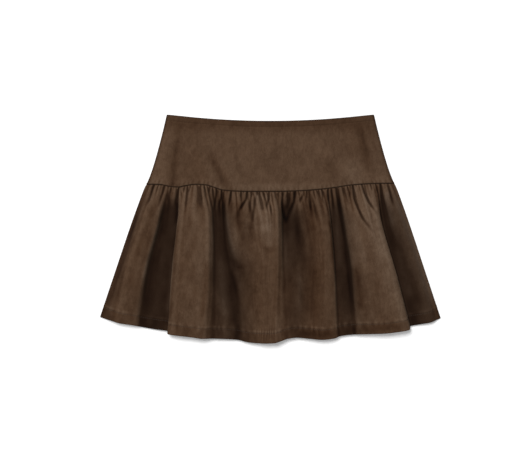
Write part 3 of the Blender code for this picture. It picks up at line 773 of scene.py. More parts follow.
foldRow = namedtuple("foldRow", "name seam upper lower hem riseUpper riseLower riseHem pageHem")
levels = {"upper": 12.0, "lower": -72.0}  # heights on the page that the folds are given at
folds = table(
    foldRow,  # x at the seam, at both levels and at the hem, then rises off the surface and the hem's y
    ("left edge", -204.8, -227.5, -256.5, -281.8, 1.6, 1.6, 1.6, -146.2),
    ("left roll", -201.8, -224, -252.5, -277, 4, 3.8, 3.6, -147.7),
    ("A rise", -195.5, -216.5, -244, -264.5, 11.5, 11, 9, -151.1),
    ("A crest", -187, -206.5, -233, -249, 16.5, 16.8, 14, -155.4),
    ("A fall", -176, -187, -210, -224.5, 15.5, 15, 12, -159.4),
    ("valley 1 left", -168, -178.5, -199.5, -210.5, 5, 4.6, 5, -162.6),
    ("valley 1 floor", -159.5, -165.5, -181, -189, 4.6, 5, 6, -166.2),
    ("valley 1 tuck", -153, -152.5, -162.5, -169.6, 5, 6.6, 8.8, -169.1),
    ("B left edge", -148, -153, -162.5, -169.2, 14.5, 13, 13, -173.2),
    ("B left crest", -140, -145, -152, -159, 21, 19.5, 18, -174.8),
    ("B middle", -123, -122, -123, -129, 22.5, 22, 19.5, -178.3),
    ("B shoulder", -113.5, -103, -103.5, -111, 21.5, 20.8, 17.4, -180.9),
    ("B right edge", -107, -97, -97, -102.5, 15, 14.4, 13.2, -181),
    ("valley 2 foot", -101, -93.5, -91, -92.5, 8.2, 8.6, 10, -181.1),
    ("low ridge", -90, -85, -81.5, -77.5, 6, 7.8, 10.2, -181.6),
    ("valley 2 right", -80, -77, -66, -54, 4.6, 4.6, 7.4, -183.3),
    ("C rise", -70, -68.5, -52.5, -41, 12, 9.6, 10.4, -186.3),
    ("C left shoulder", -53.5, -50, -31, -23.5, 16, 13.8, 14.2, -188.2),
    ("C crest", -23.5, -13.5, -10, -8.5, 20.5, 19.5, 19, -188.4),
    ("C shoulder", 6.5, 11.5, 10.5, 7.5, 22, 20.5, 19, -187.8),
    ("C right edge", 14.5, 17.5, 17, 16, 15.5, 16, 16.2, -185.5),
    ("valley 3 foot", 21.5, 21.5, 24, 28.5, 6.6, 11.2, 12.6, -181.2),
    ("D hollow", 34.5, 41, 49, 44, 8.6, 10.4, 11.4, -179.5),
    ("D middle", 50, 58.5, 69.5, 63, 12.6, 12.6, 13, -180.9),
    ("D crest", 74.5, 84.5, 90, 86, 17.5, 16.8, 16.5, -182.5),
    ("D right edge", 86.5, 98.5, 104.5, 107, 12.5, 12.2, 13, -180.2),
    ("valley 4 left", 94.5, 101, 108.5, 115, 4.8, 5.4, 8.6, -177.2),
    ("valley 4 right", 110.5, 118.5, 130.5, 137, 4.4, 4.6, 9, -174.4),
    ("E rise", 116, 124.5, 137, 146, 13, 12.5, 12.5, -173.9),
    ("E left shoulder", 126.5, 139, 153, 165, 18, 17, 15.5, -173.2),
    ("E crest", 142, 158, 178, 188, 21.5, 20.5, 18, -172.1),
    ("E shoulder", 163, 174, 197, 218, 22, 22.5, 20, -168.2),
    ("E right edge", 171, 182, 206, 229.4, 15.5, 15.5, 14.5, -165.8),
    ("valley 5 left", 176, 183, 208, 231.5, 4.8, 5.2, 6, -160.8),
    ("valley 5 right", 183.5, 189.5, 212.5, 237, 4.6, 4.6, 5.2, -159.6),
    ("F slope", 188, 200, 226.5, 250.5, 8.6, 8, 7.2, -157.2),
    ("F crest", 192.5, 213, 243, 264, 12.5, 11, 8.8, -154.8),
    ("right roll", 201.8, 224, 252.5, 277, 4.2, 4, 3.6, -149.8),
    ("right edge", 204.8, 227.5, 256, 281.8, 1.6, 1.6, 1.6, -148.2),
)
flounce = {
    "columns": 491,
    "tuck": 1.25,  # its gathered edge lies this much under the yoke's
    "underYoke": 2.2,  # and runs on this far under it
    "gatherHeight": 1.15,
    "gatherReach": 28.0,
    "broadGathers": 19,
    "broadHeight": 0.5,
    "broadReach": 90.0,
    "pleatlets": 83,
    "pleatletHeight": 0.6,
    "pleatletReach": 15.0,
    "sidePuff": 1.6,
    "unevenness": 0.3,
    "hemDent": 0.55,
    "hemSwell": 0.4,
    "hemPucker": 0.3,
    "dimpleSize": 26.0,
    "grain": 0.1,
    "grainSize": 8.0,
    "streaks": 0.035,  # how much lighter and darker the nap is in streaks down the cloth
    "streakSize": 3.4,
    "broadStreakSize": 9.0,
    "dull": 0.06,  # how much darker it is all over, and how much more on the turned-up hem
    "hemDull": 0.17,
    "hemPaintedHighlight": 0.22,  # painted highlight on the swell just above the hem's stitches
    "hemLine": 0.12,
}
pleats = table(
    creaseRow,  # the gathers' sharp troughs, most of them held in the seam
    ("A outer", True, 2.4, 2.3, [(-192, 72), (-196, 58), (-200, 46), (-205, 35)]),
    ("A middle", True, 2.6, 2, [(-174, 71), (-180, 52), (-186, 30)]),
    ("valley 1 first", True, 2.4, 1.7, [(-168, 70), (-170, 56), (-171, 40)]),
    ("valley 1 short", True, 1.6, 1.3, [(-163, 70), (-166, 57)]),
    ("valley 1 deep", True, 2.1, 2.4, [(-150.5, 70), (-154, 52), (-159.5, 35)]),
    ("valley 1 right", True, 1.6, 1.4, [(-149, 70), (-147.5, 58), (-147, 46)]),
    ("B first", True, 1.6, 1.1, [(-140, 72), (-143.5, 56)]),
    ("B second", True, 1.6, 1, [(-131.5, 73), (-137, 54)]),
    ("B third", True, 1.7, 0.7, [(-125, 73), (-125, 58)]),
    ("B fourth", True, 1.8, 1.3, [(-115, 73), (-114, 55), (-112, 34)]),
    ("B fifth", True, 1.6, 0.9, [(-109.5, 72), (-108, 52), (-106.5, 34)]),
    ("valley 2 first", True, 2, 1.9, [(-99, 70), (-103, 57)]),
    ("valley 2 slant", True, 1.9, 2.2, [(-89, 67), (-91, 43), (-95.5, 22)]),
    ("valley 2 deep", True, 1.8, 2.4, [(-80.5, 64), (-82, 50), (-84, 36)]),
    ("valley 2 fine", True, 1.3, 1.4, [(-77, 63), (-77.5, 46)]),
    ("valley 2 right", True, 1.6, 1.1, [(-73, 63), (-73, 34)]),
    ("C first", True, 1.9, 2.4, [(-64.5, 62), (-67, 48), (-69.5, 32)]),
    ("C short", True, 1.6, 0.9, [(-58, 62), (-59, 52)]),
    ("C second", True, 1.6, 1.4, [(-48, 61), (-50, 50)]),
    ("C slant", True, 2.2, 3, [(-38, 61), (-40.5, 47), (-47.5, 36), (-55, 24)]),
    ("C third", True, 1.9, 1.8, [(-31, 61), (-33, 43), (-34, 18)]),
    ("C long", True, 2.8, 2, [(-21.5, 61), (-25, 48), (-28.5, 22), (-30, -4)]),
    ("C fine", True, 1.3, 1.3, [(-18, 61), (-18, 48)]),
    ("C fine right", True, 1.3, 1.1, [(-13.5, 61), (-11, 48)]),
    ("C fourth", True, 2, 2.1, [(-1.5, 61), (-2.5, 50), (-9, 28)]),
    ("C faint", False, 1.9, 1, [(0, 44), (0.5, 30), (1, 14)]),
    ("C last", True, 1.6, 1.2, [(7.5, 61), (9.5, 44)]),
    ("pocket left", False, 2.6, 2.4, [(18.5, 52), (20, 34), (25, 6)]),
    ("pocket right", True, 2.6, 3.4, [(41, 62), (38.5, 43), (31, 24), (25, 4)]),
    ("pocket fine", True, 1.3, 1.4, [(21.5, 61), (21, 51)]),
    ("pocket fine right", True, 1.3, 1.4, [(28, 61), (26, 49)]),
    ("D slant", False, 2.4, 1.7, [(57, 60), (50, 48), (44, 38)]),
    ("D fine", True, 1.4, 1.5, [(60, 62), (59, 45)]),
    ("D first", True, 2.2, 1.8, [(64, 63), (66, 46), (66.5, 26)]),
    ("D long", False, 2.9, 2.4, [(67, 60), (73, 36), (79, 4)]),
    ("D last", True, 1.8, 2, [(84.5, 65), (86.5, 47), (91.5, 33)]),
    ("valley 4 left", True, 1.9, 1.9, [(95.5, 66), (95.5, 38)]),
    ("valley 4 right", True, 2.4, 2.2, [(109, 67), (113, 38), (118, 8)]),
    ("E first", True, 1.8, 1.5, [(122, 70), (125.5, 51), (130.5, 34)]),
    ("E short", True, 1.4, 1.4, [(132, 71), (132, 51)]),
    ("E long", True, 2.4, 2.3, [(136.5, 71), (138.5, 49), (144, 33), (151, 17), (160, 5), (177, -18)]),
    ("E second", True, 2.2, 2.4, [(151, 73), (155.5, 58), (162, 44), (171, 30), (181, 15)]),
    ("E third", True, 1.6, 1.1, [(165.5, 73), (167.5, 60)]),
    ("E fourth", True, 1.9, 1.5, [(173.5, 73), (175, 55)]),
    ("valley 5", True, 3, 2.6, [(181.5, 74), (184.5, 54), (190.5, 26), (197, -1), (204, -25), (211, -50)]),
    ("F short", True, 1.6, 1.3, [(189.5, 74), (190.5, 62)]),
    ("F first", True, 2.2, 2.3, [(195, 74), (199, 58), (203.5, 32)]),
)
puffs = table(
    creaseRow,  # the gathers' ridges between them
    ("A puff", True, 6, -1.8, [(-186, 71), (-192, 50), (-203, 20)]),
    ("B puff left", True, 5, -1.4, [(-144, 72), (-145, 50), (-148, 20)]),
    ("B puff middle", True, 5, -1.4, [(-129, 73), (-130, 50), (-131, 18)]),
    ("B puff right", True, 4.5, -1.6, [(-111, 72), (-110, 50), (-107, 22)]),
    ("C puff left", True, 6, -1.6, [(-55, 62), (-57, 44), (-60, 14)]),
    ("C puff middle", True, 5, -2, [(-25, 61), (-23, 44), (-20, 14)]),
    ("C puff right", True, 5.5, -2.2, [(4, 61), (6, 44), (8, 10)]),
    ("D puff", True, 5, -1.8, [(50, 62), (50, 46), (52, 24)]),
    ("D puff right", True, 5, -2.2, [(71, 63), (74, 44), (80, 12)]),
    ("E puff left", True, 5, -1.8, [(124, 70), (128, 46), (134, 12)]),
    ("E puff middle", True, 5.5, -2, [(146, 72), (150, 50), (158, 18)]),
    ("E puff right", True, 5, -1.6, [(169, 74), (171, 52), (176, 24)]),
    ("F puff left", True, 4, -1.4, [(188, 74), (191, 50), (197, 22)]),
)
creases = table(
    creaseRow,  # broad, soft ones
    ("A upper", False, 5, 1.8, [(-196, 66), (-205, 45), (-214, 24)]),
    ("A low", False, 7, 1.2, [(-240, -60), (-250, -96), (-256, -130)]),
    ("C slant end", False, 6, 1.6, [(-48, 36), (-56, 16), (-60, -8)]),
    ("C left puff", False, 10, -3.2, [(-58, 28), (-57, -10), (-52, -46)]),
    ("C under left puff", False, 7, 1.2, [(-66, -44), (-54, -62), (-40, -52)]),
    ("C between puffs", False, 7, 1.9, [(-37, 14), (-32, -12), (-20, -32)]),
    ("C right puff", False, 10, -2.6, [(-8, 40), (-6, 4), (2, -24)]),
    ("C under right puff", False, 6, 0.9, [(-14, -28), (0, -37), (12, -26)]),
    ("pocket", False, 7, 2.6, [(31, 62), (28, 36), (26, 10)]),
    ("pocket puff", False, 4, -2.2, [(24, 54), (24.5, 42), (25.5, 34)]),
    ("D bump", False, 6, -1.6, [(47, 46), (47.5, 36), (49, 26)]),
    ("D grey", False, 6, 1.8, [(66, 52), (69, 30), (72, 10)]),
    ("D slope", False, 7, 2.4, [(40, 30), (46, -4), (56, -46)]),
    ("D low", False, 9, 0.8, [(52, -60), (50, -100), (44, -140)]),
    ("B middle", False, 9, 0.9, [(-128, 20), (-131, -40), (-138, -110)]),
    ("E middle", False, 10, 0.9, [(160, -24), (172, -70), (186, -130)]),
    ("E low", False, 8, 1, [(182, -10), (196, -60), (210, -110)]),
)
# soft patches of painted shade and highlight on the flounce, with the nap's own tone
flounceNapAndShade = table(
    napAndShadePatch,
    ("gathers over valley 1", -165, 46, 10, 26, -0.15, -0.2),
    ("gathers over valley 2", -81, 46, 15, 22, 0.05, -0.42),
    ("gathers over valley 4", 103, 50, 9, 20, 0.1, -0.34),
    ("gathers over the pocket", 28, 44, 8, 22, -0.15, -0.12),
    ("gathers over valley 5", 182, 50, 7, 30, 0.25, -0.2),
    ("dull foot of C", -24, -104, 26, 62, 0.1, -0.16),
    ("D's flat", 72, -60, 28, 150, 0.05, -0.27),
    ("A", -232, -56, 20, 120, -0.26, -0.25),
    ("E's bright right", 184, -38, 16, 110, 0.26, 0.32),
    ("B's left", -148, -60, 9, 110, -0.1, -0.12),
    ("B's right", -112, -30, 8, 90, -0.02, 0.12),
    ("pale top of B", -136, 30, 14, 40, -0.1, 0.06),
)
# painted shade and highlight along lines on the flounce, with the nap's own tone
flounceNapAndShadeStrokes = table(
    napAndShadeStroke,
    ("A's line beside the edge", -0.3, 2.5, 2.5, [(-220, 26), (-237, -41), (-253, -82), (-264, -122)]),
    ("A's dull right", -0.3, 4, 6.5, [(-188, 18), (-195, -6), (-207, -52), (-217, -102), (-228, -146)]),
    ("A's fall", 0.5, 2.5, 3, [(-181, 12), (-193, -27), (-204, -62), (-212, -92)]),
    ("valley 1's dark side", -0.2, 5, 7, [(-168, 40), (-181, -20), (-193, -76), (-204, -136)]),
    ("valley 1 beside B", -0.35, 3, 2, [(-155, 44), (-155, 26), (-158, 6)]),
    ("valley 1's right", 0.6, 3, 3.5, [(-161, -50), (-166, -102), (-171, -150)]),
    ("B's rim", -0.34, 3, 3.5, [(-151, 10), (-156, -27), (-162, -100), (-167, -160)]),
    ("B's fall", 0.4, 2, 2.5, [(-97, 8), (-96, -27), (-98, -70)]),
    ("B's dull right foot", -0.32, 5, 6, [(-104, -56), (-105, -102), (-111, -150)]),
    ("valley 2's dark line", -0.32, 4, 4,
        [(-86, 52), (-80, 22), (-75, -20), (-68, -60), (-56, -102), (-48, -134)]),
    ("valley 2's low ridge", 0.45, 7, 10, [(-84, -50), (-80, -90), (-74, -150)]),
    ("valley 2's right", 0.5, 3.5, 4.5, [(-72, 20), (-70, -27), (-62, -76)]),
    ("C's left puff", 0.26, 7, 6, [(-62, 4), (-60, -24), (-54, -50)]),
    ("C's dull left top", -0.36, 9, 7, [(-54, 44), (-52, 20), (-50, -6)]),
    ("C's left tip", 0.22, 5, 4, [(-61, -34), (-57, -54)]),
    ("under C's left puff", -0.2, 4.5, 5, [(-68, -46), (-57, -66), (-42, -62)]),
    ("C's dull gathers", -0.3, 3, 3, [(-41, 60), (-44, 46), (-51, 30)]),
    ("C's dull middle gather", -0.3, 2.5, 2.5, [(-12, 60), (-10.5, 46), (-9, 32)]),
    ("C's right puff", 0.3, 14, 12, [(-16, 60), (-14, 22), (-6, -8)]),
    ("C's puff's tip", 0.32, 15, 7, [(-6, 8), (-3, -14), (0, -31)]),
    ("under C's right puff", -0.08, 5, 5, [(-20, -20), (-3, -42), (10, -30)]),
    ("left of C's right puff", -0.2, 4, 6, [(-37, 40), (-33, 6), (-23, -24)]),
    ("C's dull shoulder", -0.26, 4, 5, [(12, -22), (12, -60), (12, -150)]),
    ("pocket's left", -0.35, 3, 3.5, [(18, 60), (18, 44), (22, 12)]),
    ("pocket's right", -0.32, 4.5, 4, [(40, 62), (35, 38), (29, 26), (23, 8)]),
    ("pocket's floor", -0.2, 5, 3, [(27, 38), (26, 20), (25, 6)]),
    ("beside C's edge", 0.4, 4, 5, [(23, -8), (24, -34), (27, -70)]),
    ("slant under the pocket", -0.16, 6, 7, [(27, 22), (40, -6), (52, -40)]),
    ("low D's dull left", -0.24, 6, 7, [(32, -76), (33, -104), (33, -150)]),
    ("low D's pale line", 0.34, 5, 5, [(48, -70), (49, -102), (46, -140)]),
    ("D's grey", -0.26, 6, 7, [(67, 40), (66, 14), (70, -8)]),
    ("D's dull edge", -0.32, 2.5, 3, [(92, 58), (95, 24), (98, 0)]),
    ("D's low middle", -0.14, 9, 10, [(68, -60), (70, -102), (70, -150)]),
    ("valley 4's left", -0.5, 2.5, 2.5, [(98, 10), (101.5, -16), (103, -40), (107, -80)]),
    ("valley 4's floor", 0.5, 4, 4.5, [(105, 34), (108, 14), (112, -24), (117, -70)]),
    ("valley 4's right", -0.36, 3, 3.5,
        [(112, 58), (115, 36), (119, 0), (125, -50), (131, -102), (136, -130)]),
    ("E's dull gather", -0.32, 4, 4, [(129, 70), (132, 47), (137, 26)]),
    ("E's left face", 0.26, 7, 8, [(136, 14), (141, -8), (149, -34), (156, -66)]),
    ("E's left", -0.42, 6, 10, [(138, -64), (144, -100), (150, -140)]),
    ("E's top right", 0.16, 9, 11, [(156, 56), (163, 22), (176, -24), (190, -60)]),
    ("E's rim", -0.1, 4, 5, [(192, -26), (199, -48), (208, -76), (219, -120)]),
    ("beside valley 5", -0.5, 4, 2.5, [(175, 72), (177, 48), (181, 26), (185, 4)]),
    ("valley 5's line", -0.12, 3, 4, [(186, 30), (190, 12), (198, -15), (212, -66), (224, -96)]),
    ("valley 5's low end", 0.5, 6, 8, [(208, -34), (219, -74), (230, -120)]),
    ("F's top", 0.5, 5, 6, [(192, 62), (196, 26), (203, 0)]),
    ("F's edge", 0.6, 7, 10, [(207, 56), (224, 10), (240, -30), (262, -104), (271, -134)]),
    ("F's dull foot", -0.2, 7, 9, [(226, -66), (238, -96), (250, -130)]),
    ("right hem", -0.22, 7, 7, [(40, -173), (90, -175), (150, -167), (226, -158)]),
)


def sharesDown(fold):
    # shares of the flounce's length at which the fold crosses its given levels
    top = float(frontSeam(fold.seam))
    length = top - fold.pageHem
    return 0.0, (top - levels["upper"]) / length, (top - levels["lower"]) / length, 1.0


def foldSheet(seamX, t):
    # the flounce's form before its gathers, a row of points for each share t of its length
    knots = [fold.seam for fold in folds]
    tops = yokeRise(np.array(knots), frontSeam(knots), 1.0) - flounce["tuck"]
    tops = np.maximum(tops, folds[0].riseUpper)
    across = np.array([softCurve(sharesDown(fold), fold[1:5], t) for fold in folds])
    rises = np.array([softCurve(sharesDown(fold), (top, *fold[5:8]), t) for fold, top in zip(folds, tops)])
    x = np.array([softCurve(knots, row, seamX) for row in across.T])
    z = np.array([softCurve(knots, row, seamX) for row in rises.T])
    hem = softCurve(knots, [fold.pageHem for fold in folds], seamX)
    y = (frontSeam(seamX) - skirt["halfGap"]) * (1 - t[:, None]) + hem * t[:, None]
    fromSeam = t[:, None] * skirt["flounceLength"]
    puff = flounce["sidePuff"] * (1 - np.exp(-fromSeam / 6.0)) * (1 - t[:, None])
    x = x + puff * np.sign(seamX) * softStep((np.abs(seamX) - skirt["seamHalf"]) / 12.0 + 1)
    return x, y, z, hem


def frontFlounceSheet():
    seamX = np.linspace(-skirt["seamHalf"], skirt["seamHalf"], flounce["columns"])
    length = skirt["flounceLength"]
    down = np.concatenate([
        [-flounce["underYoke"], -0.9, -0.2],
        0.35 + (np.linspace(0, 1, 34)[:-1] ** 1.7) * 64.0,
        spaced((64.35, length - 27, length - 19, length - 12, length), (34, 8, 13, 8)),
    ])
    t = np.clip(down / length, 0.0, 1.0)
    x, y, z, hem = foldSheet(seamX, t)
    under = np.minimum(down, 0.0)[:, None]
    y = y - under
    z = z - 0.45 * softStep(-under / 1.0)
    fromSeam = np.maximum(down, 0.0)[:, None]
    fromHem = y - hem
    fromSide = softStep((skirt["seamHalf"] - np.abs(seamX) - 2.0) / 9.0)

    small = flounce["gatherHeight"] * (1 + 0.4 * wander(seamX, 1.7))
    small = small * gatherWave(seamX, skirt["gathers"], 0.4)
    small = small * np.exp(-((fromSeam / (flounce["gatherReach"] * (1 + 0.5 * wander(seamX, 2.9)))) ** 1.4))
    small = small * softStep(fromSeam / 5.0)
    broad = flounce["broadHeight"] * gatherWave(seamX, flounce["broadGathers"], 5.2)
    broad = broad * softStep(fromSeam / 26.0) * bell(fromSeam, flounce["broadReach"])
    fine = flounce["pleatletHeight"] * gatherWave(seamX, flounce["pleatlets"], 3.6)
    fine = fine * np.exp(-fromSeam / flounce["pleatletReach"]) * softStep(fromSeam / 1.6)
    held = softStep(fromSeam / 2.5)
    pressed = pressedIn(pleats + puffs, x, y) * held
    pressed = pressed + pressedIn(creases, x, y) * softStep(fromSeam / 10.0)
    rough = flounce["unevenness"] * dimples(x, y, flounce["dimpleSize"], 3)
    rough = rough + flounce["grain"] * dimples(x, y, flounce["grainSize"], 4)

    hemLine = fromHem - skirt["hemTurn"]
    swell = flounce["hemSwell"] * bell(hemLine - 3.4, 2.3) * (0.75 + 0.25 * wander(seamX * 2.1, 0.9))
    pucker = flounce["hemPucker"] * gatherWave(seamX, 52, 6.1) * bell(hemLine - 2.0, 4.5)
    pucker = pucker + 0.5 * flounce["hemPucker"] * gatherWave(seamX, 34, 7.4) * bell(hemLine + 5.0, 6.0)
    dent = flounce["hemDent"] * bell(hemLine, 0.9) * (0.9 + 0.25 * wander(seamX * 1.7, 4.4))
    lift = (small + broad + fine - pressed + rough + pucker) * fromSide + swell - dent

    run, climb = np.gradient(x, axis=1), np.gradient(z, axis=1)
    reach = np.hypot(run, climb)
    x = x - lift * climb / reach
    z = z + lift * run / reach
    halfWidth = skirt["seamHalf"] + (skirt["hemHalf"] - skirt["seamHalf"]) * t[:, None]
    low = clearOfBack(x, halfWidth) - 0.15
    z = keptAbove(z, low + skirt["flounceWall"] / 2)
    return np.stack([x, y, z], axis=2), low, seamX, fromSeam, fromHem


def makeFrontFlounce():
    middle, low, seamX, fromSeam, fromHem = frontFlounceSheet()
    normals = sheetNormals(middle)
    half = skirt["flounceWall"] / 2
    turned = softStep((skirt["hemTurn"] - 0.3 - fromHem) / 0.8)[:, :, None]
    outer, inner = middle + normals * half, middle - normals * (half + turned)
    inner[:, :, 2] = np.maximum(inner[:, :, 2], low)
    x, y = outer[:, :, 0], outer[:, :, 1]
    fromTurn = fromHem - skirt["hemTurn"]
    line = np.maximum(bell(y - frontSeam(x), 1.0), flounce["hemLine"] * bell(fromTurn, 0.7))
    # the nap's tone with painted shade and highlights from the tables above
    nap = patchedNapAndShade(flounceNapAndShade, x, y) + strokedNapAndShade(flounceNapAndShadeStrokes, x, y)
    nap = nap - flounce["dull"] - flounce["hemDull"] * softStep((0.5 - fromTurn) / 1.5)
    nap = nap + flounce["streaks"] * dimples(seamX, 0.12 * fromSeam, flounce["streakSize"], 21, 14)
    nap = nap + flounce["streaks"] * dimples(seamX, 0.3 * fromSeam, flounce["broadStreakSize"], 22, 9)
    # painted highlight on the swell above the hem's stitches
    nap = nap + flounce["hemPaintedHighlight"] * bell(fromTurn - 3.6, 1.6) * (0.6 + 0.6 * wander(x * 1.3, 2.6))
    # painted shade along the pleats
    pressed = pressedIn(pleats, x, y) / 3.2
    shades = shadesOf(outer[:, :, 2], 50, 14.0, line, nap, pressed)
    fromSide = skirt["seamHalf"] - np.abs(seamX)
    # less painted shade in the hollows near the sides
    shades["hollow"] = shades["hollow"] * (0.3 + 0.7 * softStep(fromSide / 12.0))
    piece = clothWall("flounce_front_suede", outer, inner, [suede, backing], shades)
    standFor(piece, "flounce_front")
    return piece, flatArea(middle), stitchPath(outer, fromHem)


def stitchPath(surface, fromHem):
    # the line on the surface that lies the hem's depth above the edge
    path = []
    for c in range(surface.shape[1]):
        order = np.argsort(fromHem[:, c])
        path.append([np.interp(skirt["hemTurn"], fromHem[order, c], surface[order, c, k]) for k in range(3)])
    return np.array(path)


frontYoke, yokeArea = makeFrontYoke()
print(f"front yoke made, {yokeArea:.4f} square metres")
frontFlounce, flounceArea, frontHemPath = makeFrontFlounce()
print(f"front flounce made, {flounceArea:.4f} square metres")


# Back

back = {
    "yokeColumns": 130,
    "flounceColumns": 230,
    "gathers": 24,
    "gatherLift": 0.8,
    "gatherReach": 40.0,
    "hingeFromWaist": 9.0,
    "tabLength": 20.0,
    "pocketLift": 1.4,
    "pocketFlat": 3.2,
    "pocketEdge": 10.0,
    "pocketTail": 20.0,
    "stemSlot": 0.65,
}
backFoldRow = namedtuple("backFoldRow", "name seam hem height width")
backFolds = table(
    backFoldRow,
    ("under A", -186, -247, 3, 11),
    ("under B", -122, -138, 3.4, 14),
    ("under C", -30, -26, 3.2, 14),
    ("under D", 72, 84, 2.8, 11),
    ("under E", 142, 188, 3.4, 14),
    ("under F", 190, 256, 2.2, 9),
)
hingeY = waistLine(0.0) - skirt["backWaistShort"] - back["hingeFromWaist"]


def window(value, flat, edge):
    return 1 - softStep((np.abs(value) - flat) / (edge - flat))


def pocket(x, y):
    # the hollow over the zip's tab, at the waist's middle
    tip = hingeY - back["tabLength"]
    below = softStep((y - tip + back["pocketTail"]) / (back["pocketTail"] - 2.2))
    return back["pocketLift"] * window(x, back["pocketFlat"], back["pocketEdge"]) * below


def backYokeSheet(side):
    shares = np.linspace(0, 1, back["yokeColumns"]) ** 1.25
    v = spaced((0, 0.5, 0.93, 1), (46, 18, 10))[:, None]
    top = waistLine(side * shares) - skirt["backWaistShort"]
    bottom = backSeam(side * shares * skirt["seamHalf"]) + skirt["halfGap"]
    y = top * (1 - v) + bottom * v
    inner = skirt["halfGap"] + back["stemSlot"] * window(y - hingeY, 2.2, 6.2)
    x = side * (inner + (yokeHalfWidth(v) - inner) * shares)
    fromSeam = y - bottom
    height = skirt["yokeWall"] / 2 + pocket(x, y)
    height += 0.35 * bell(fromSeam, 1.2) + 0.3 * np.exp(-(top - y) / 0.9)
    return np.stack([x, y, height], axis=2)


def backFlounceSheet(side):
    seamX = side * np.linspace(skirt["halfGap"], skirt["seamHalf"], back["flounceColumns"])
    seamX = np.sort(seamX)
    length = skirt["flounceLength"]
    down = np.concatenate([
        np.linspace(0, 1, 22)[:-1] ** 1.5 * 50,
        spaced((50, length - 24, length - 11, length), (26, 16, 6)),
    ])
    t = (down / length)[:, None]
    halfWidth = skirt["seamHalf"] + (skirt["hemHalf"] - skirt["seamHalf"]) * t
    x = seamX * halfWidth / skirt["seamHalf"]
    x = np.where(np.abs(seamX) < 0.3, seamX + 0 * t, x)
    hem = backHem(x)
    y = (backSeam(seamX) - skirt["halfGap"]) * (1 - t) + hem * t
    fromSeam = down[:, None]
    fromHem = y - hem
    nearSide = softStep((skirt["seamHalf"] - np.abs(seamX) - 3.0) / 9.0)
    nearZip = softStep((np.abs(seamX) - 14.0) / 8.0)
    gathered = (1 + gatherWave(seamX, back["gathers"], 3.3)) / 2
    grown = (1 + softStep(fromSeam / 10.0)) / 2 * (1 - softStep(fromSeam / back["gatherReach"]))
    lift = back["gatherLift"] * gathered * grown * nearSide * nearZip
    risen = softStep((t - 0.06) / 0.3)
    for fold in backFolds:
        middle = fold.seam + (fold.hem - fold.seam) * t
        lift = np.maximum(lift, fold.height * risen * window(x - middle, 0.0, fold.width))
    lift = lift + 0.35 * bell(fromHem - skirt["hemTurn"], 0.9) + 0.35 * bell(fromSeam, 1.2)
    return np.stack([x, y, skirt["flounceWall"] / 2 + lift], axis=2), fromHem


def makeBackPiece(node, middle, wall, fromHem=None):
    normals = sheetNormals(middle)
    turned = 0.0
    if fromHem is not None:
        fromSide = skirt["hemHalf"] - np.abs(middle[:, :, :1])
        turned = 0.8 * softStep((skirt["hemTurn"] - 0.3 - fromHem) / 0.8)[:, :, None]
        turned = turned * softStep((fromSide - 8) / 10)
    outer, inner = middle + normals * (wall / 2 + turned), middle - normals * wall / 2
    inner[:, :, 2] = np.maximum(inner[:, :, 2], 0.0)
    outer[:, :, 2] = np.maximum(outer[:, :, 2], inner[:, :, 2] + wall * 0.8)
    # painted shade on the suede underneath where it lifts off the floor between the places that lie on it
    low = 4.0 - inner[:, :, 2]
    piece = clothWall(node + "_suede", outer, inner, [backing, suede], shadesOf(low, 20, 9.0))
    standFor(piece, node)
    return piece, flatArea(middle), inner


backHemPaths = []
for side, label in sides:
    sheet = backYokeSheet(side)
    if side < 0:
        sheet = sheet[:, ::-1]
    piece, area, _ = makeBackPiece(f"yoke_back_{label}", sheet, skirt["yokeWall"])
    sheet, fromHem = backFlounceSheet(side)
    piece, area, under = makeBackPiece(f"flounce_back_{label}", sheet, skirt["flounceWall"], fromHem)
    backHemPaths.append(stitchPath(under, fromHem))


# Hem stitches

stitch = {
    "pitch": 3.1,
    "length": 2.5,
    "width": 0.42,
    "frontLift": 0.05,
    "backSink": 0.1,
    "unevenness": 0.12,
    "seed": 11,
}


def stitchTree(name):
    tree = bpy.data.node_groups.new(name, "GeometryNodeTree")
    tree.interface.new_socket("Geometry", in_out="OUTPUT", socket_type="NodeSocketGeometry")
    kinds = {
        "Path": "Geometry",
        "Pitch": "Float",
        "Stitch length": "Float",
        "Thread width": "Float",
        "Unevenness": "Float",
        "Seed": "Int",
        "Thread": "Material",
    }
    for given, kind in kinds.items():
        tree.interface.new_socket(given, in_out="INPUT", socket_type="NodeSocket" + kind)
    given = tree.nodes.new("NodeGroupInput").outputs
    curve = nodeOf(tree, "GeometryNodeMeshToCurve", {"Mesh": given["Path"]}).outputs["Curve"]
    inputs = {"Curve": curve, "Length": given["Pitch"]}
    spots = nodeOf(tree, "GeometryNodeCurveToPoints", inputs, mode="LENGTH").outputs

    bead = nodeOf(tree, "GeometryNodeMeshUVSphere", {"Segments": 8, "Rings": 6, "Radius": 0.5})
    inputs = {"X": given["Thread width"], "Y": given["Thread width"], "Z": given["Stitch length"]}
    size = nodeOf(tree, "ShaderNodeCombineXYZ", inputs).outputs["Vector"]
    drawn = nodeOf(tree, "GeometryNodeTransform", {"Geometry": bead.outputs["Mesh"], "Scale": size})

    change = nodeOf(tree, "FunctionNodeRandomValue", {"Seed": given["Seed"]}, data_type="FLOAT")
    limits = [socket for socket in change.inputs if socket.type == "VALUE"]
    for operation, limit in zip(("SUBTRACT", "ADD"), limits):
        tree.links.new(mathOf(tree, operation, 1.0, given["Unevenness"]), limit)
    chance = [socket for socket in change.outputs if socket.type == "VALUE"][0]

    row = nodeOf(tree, "GeometryNodeInstanceOnPoints", {
        "Points": spots["Points"],
        "Rotation": spots["Rotation"],
        "Scale": chance,
        "Instance": drawn.outputs["Geometry"],
    }).outputs["Instances"]
    real = nodeOf(tree, "GeometryNodeRealizeInstances", {"Geometry": row}).outputs["Geometry"]
    finish = nodeOf(tree, "GeometryNodeSetMaterial", {"Geometry": real, "Material": given["Thread"]})
    nodeOf(tree, "NodeGroupOutput", {"Geometry": finish.outputs["Geometry"]})
    return tree


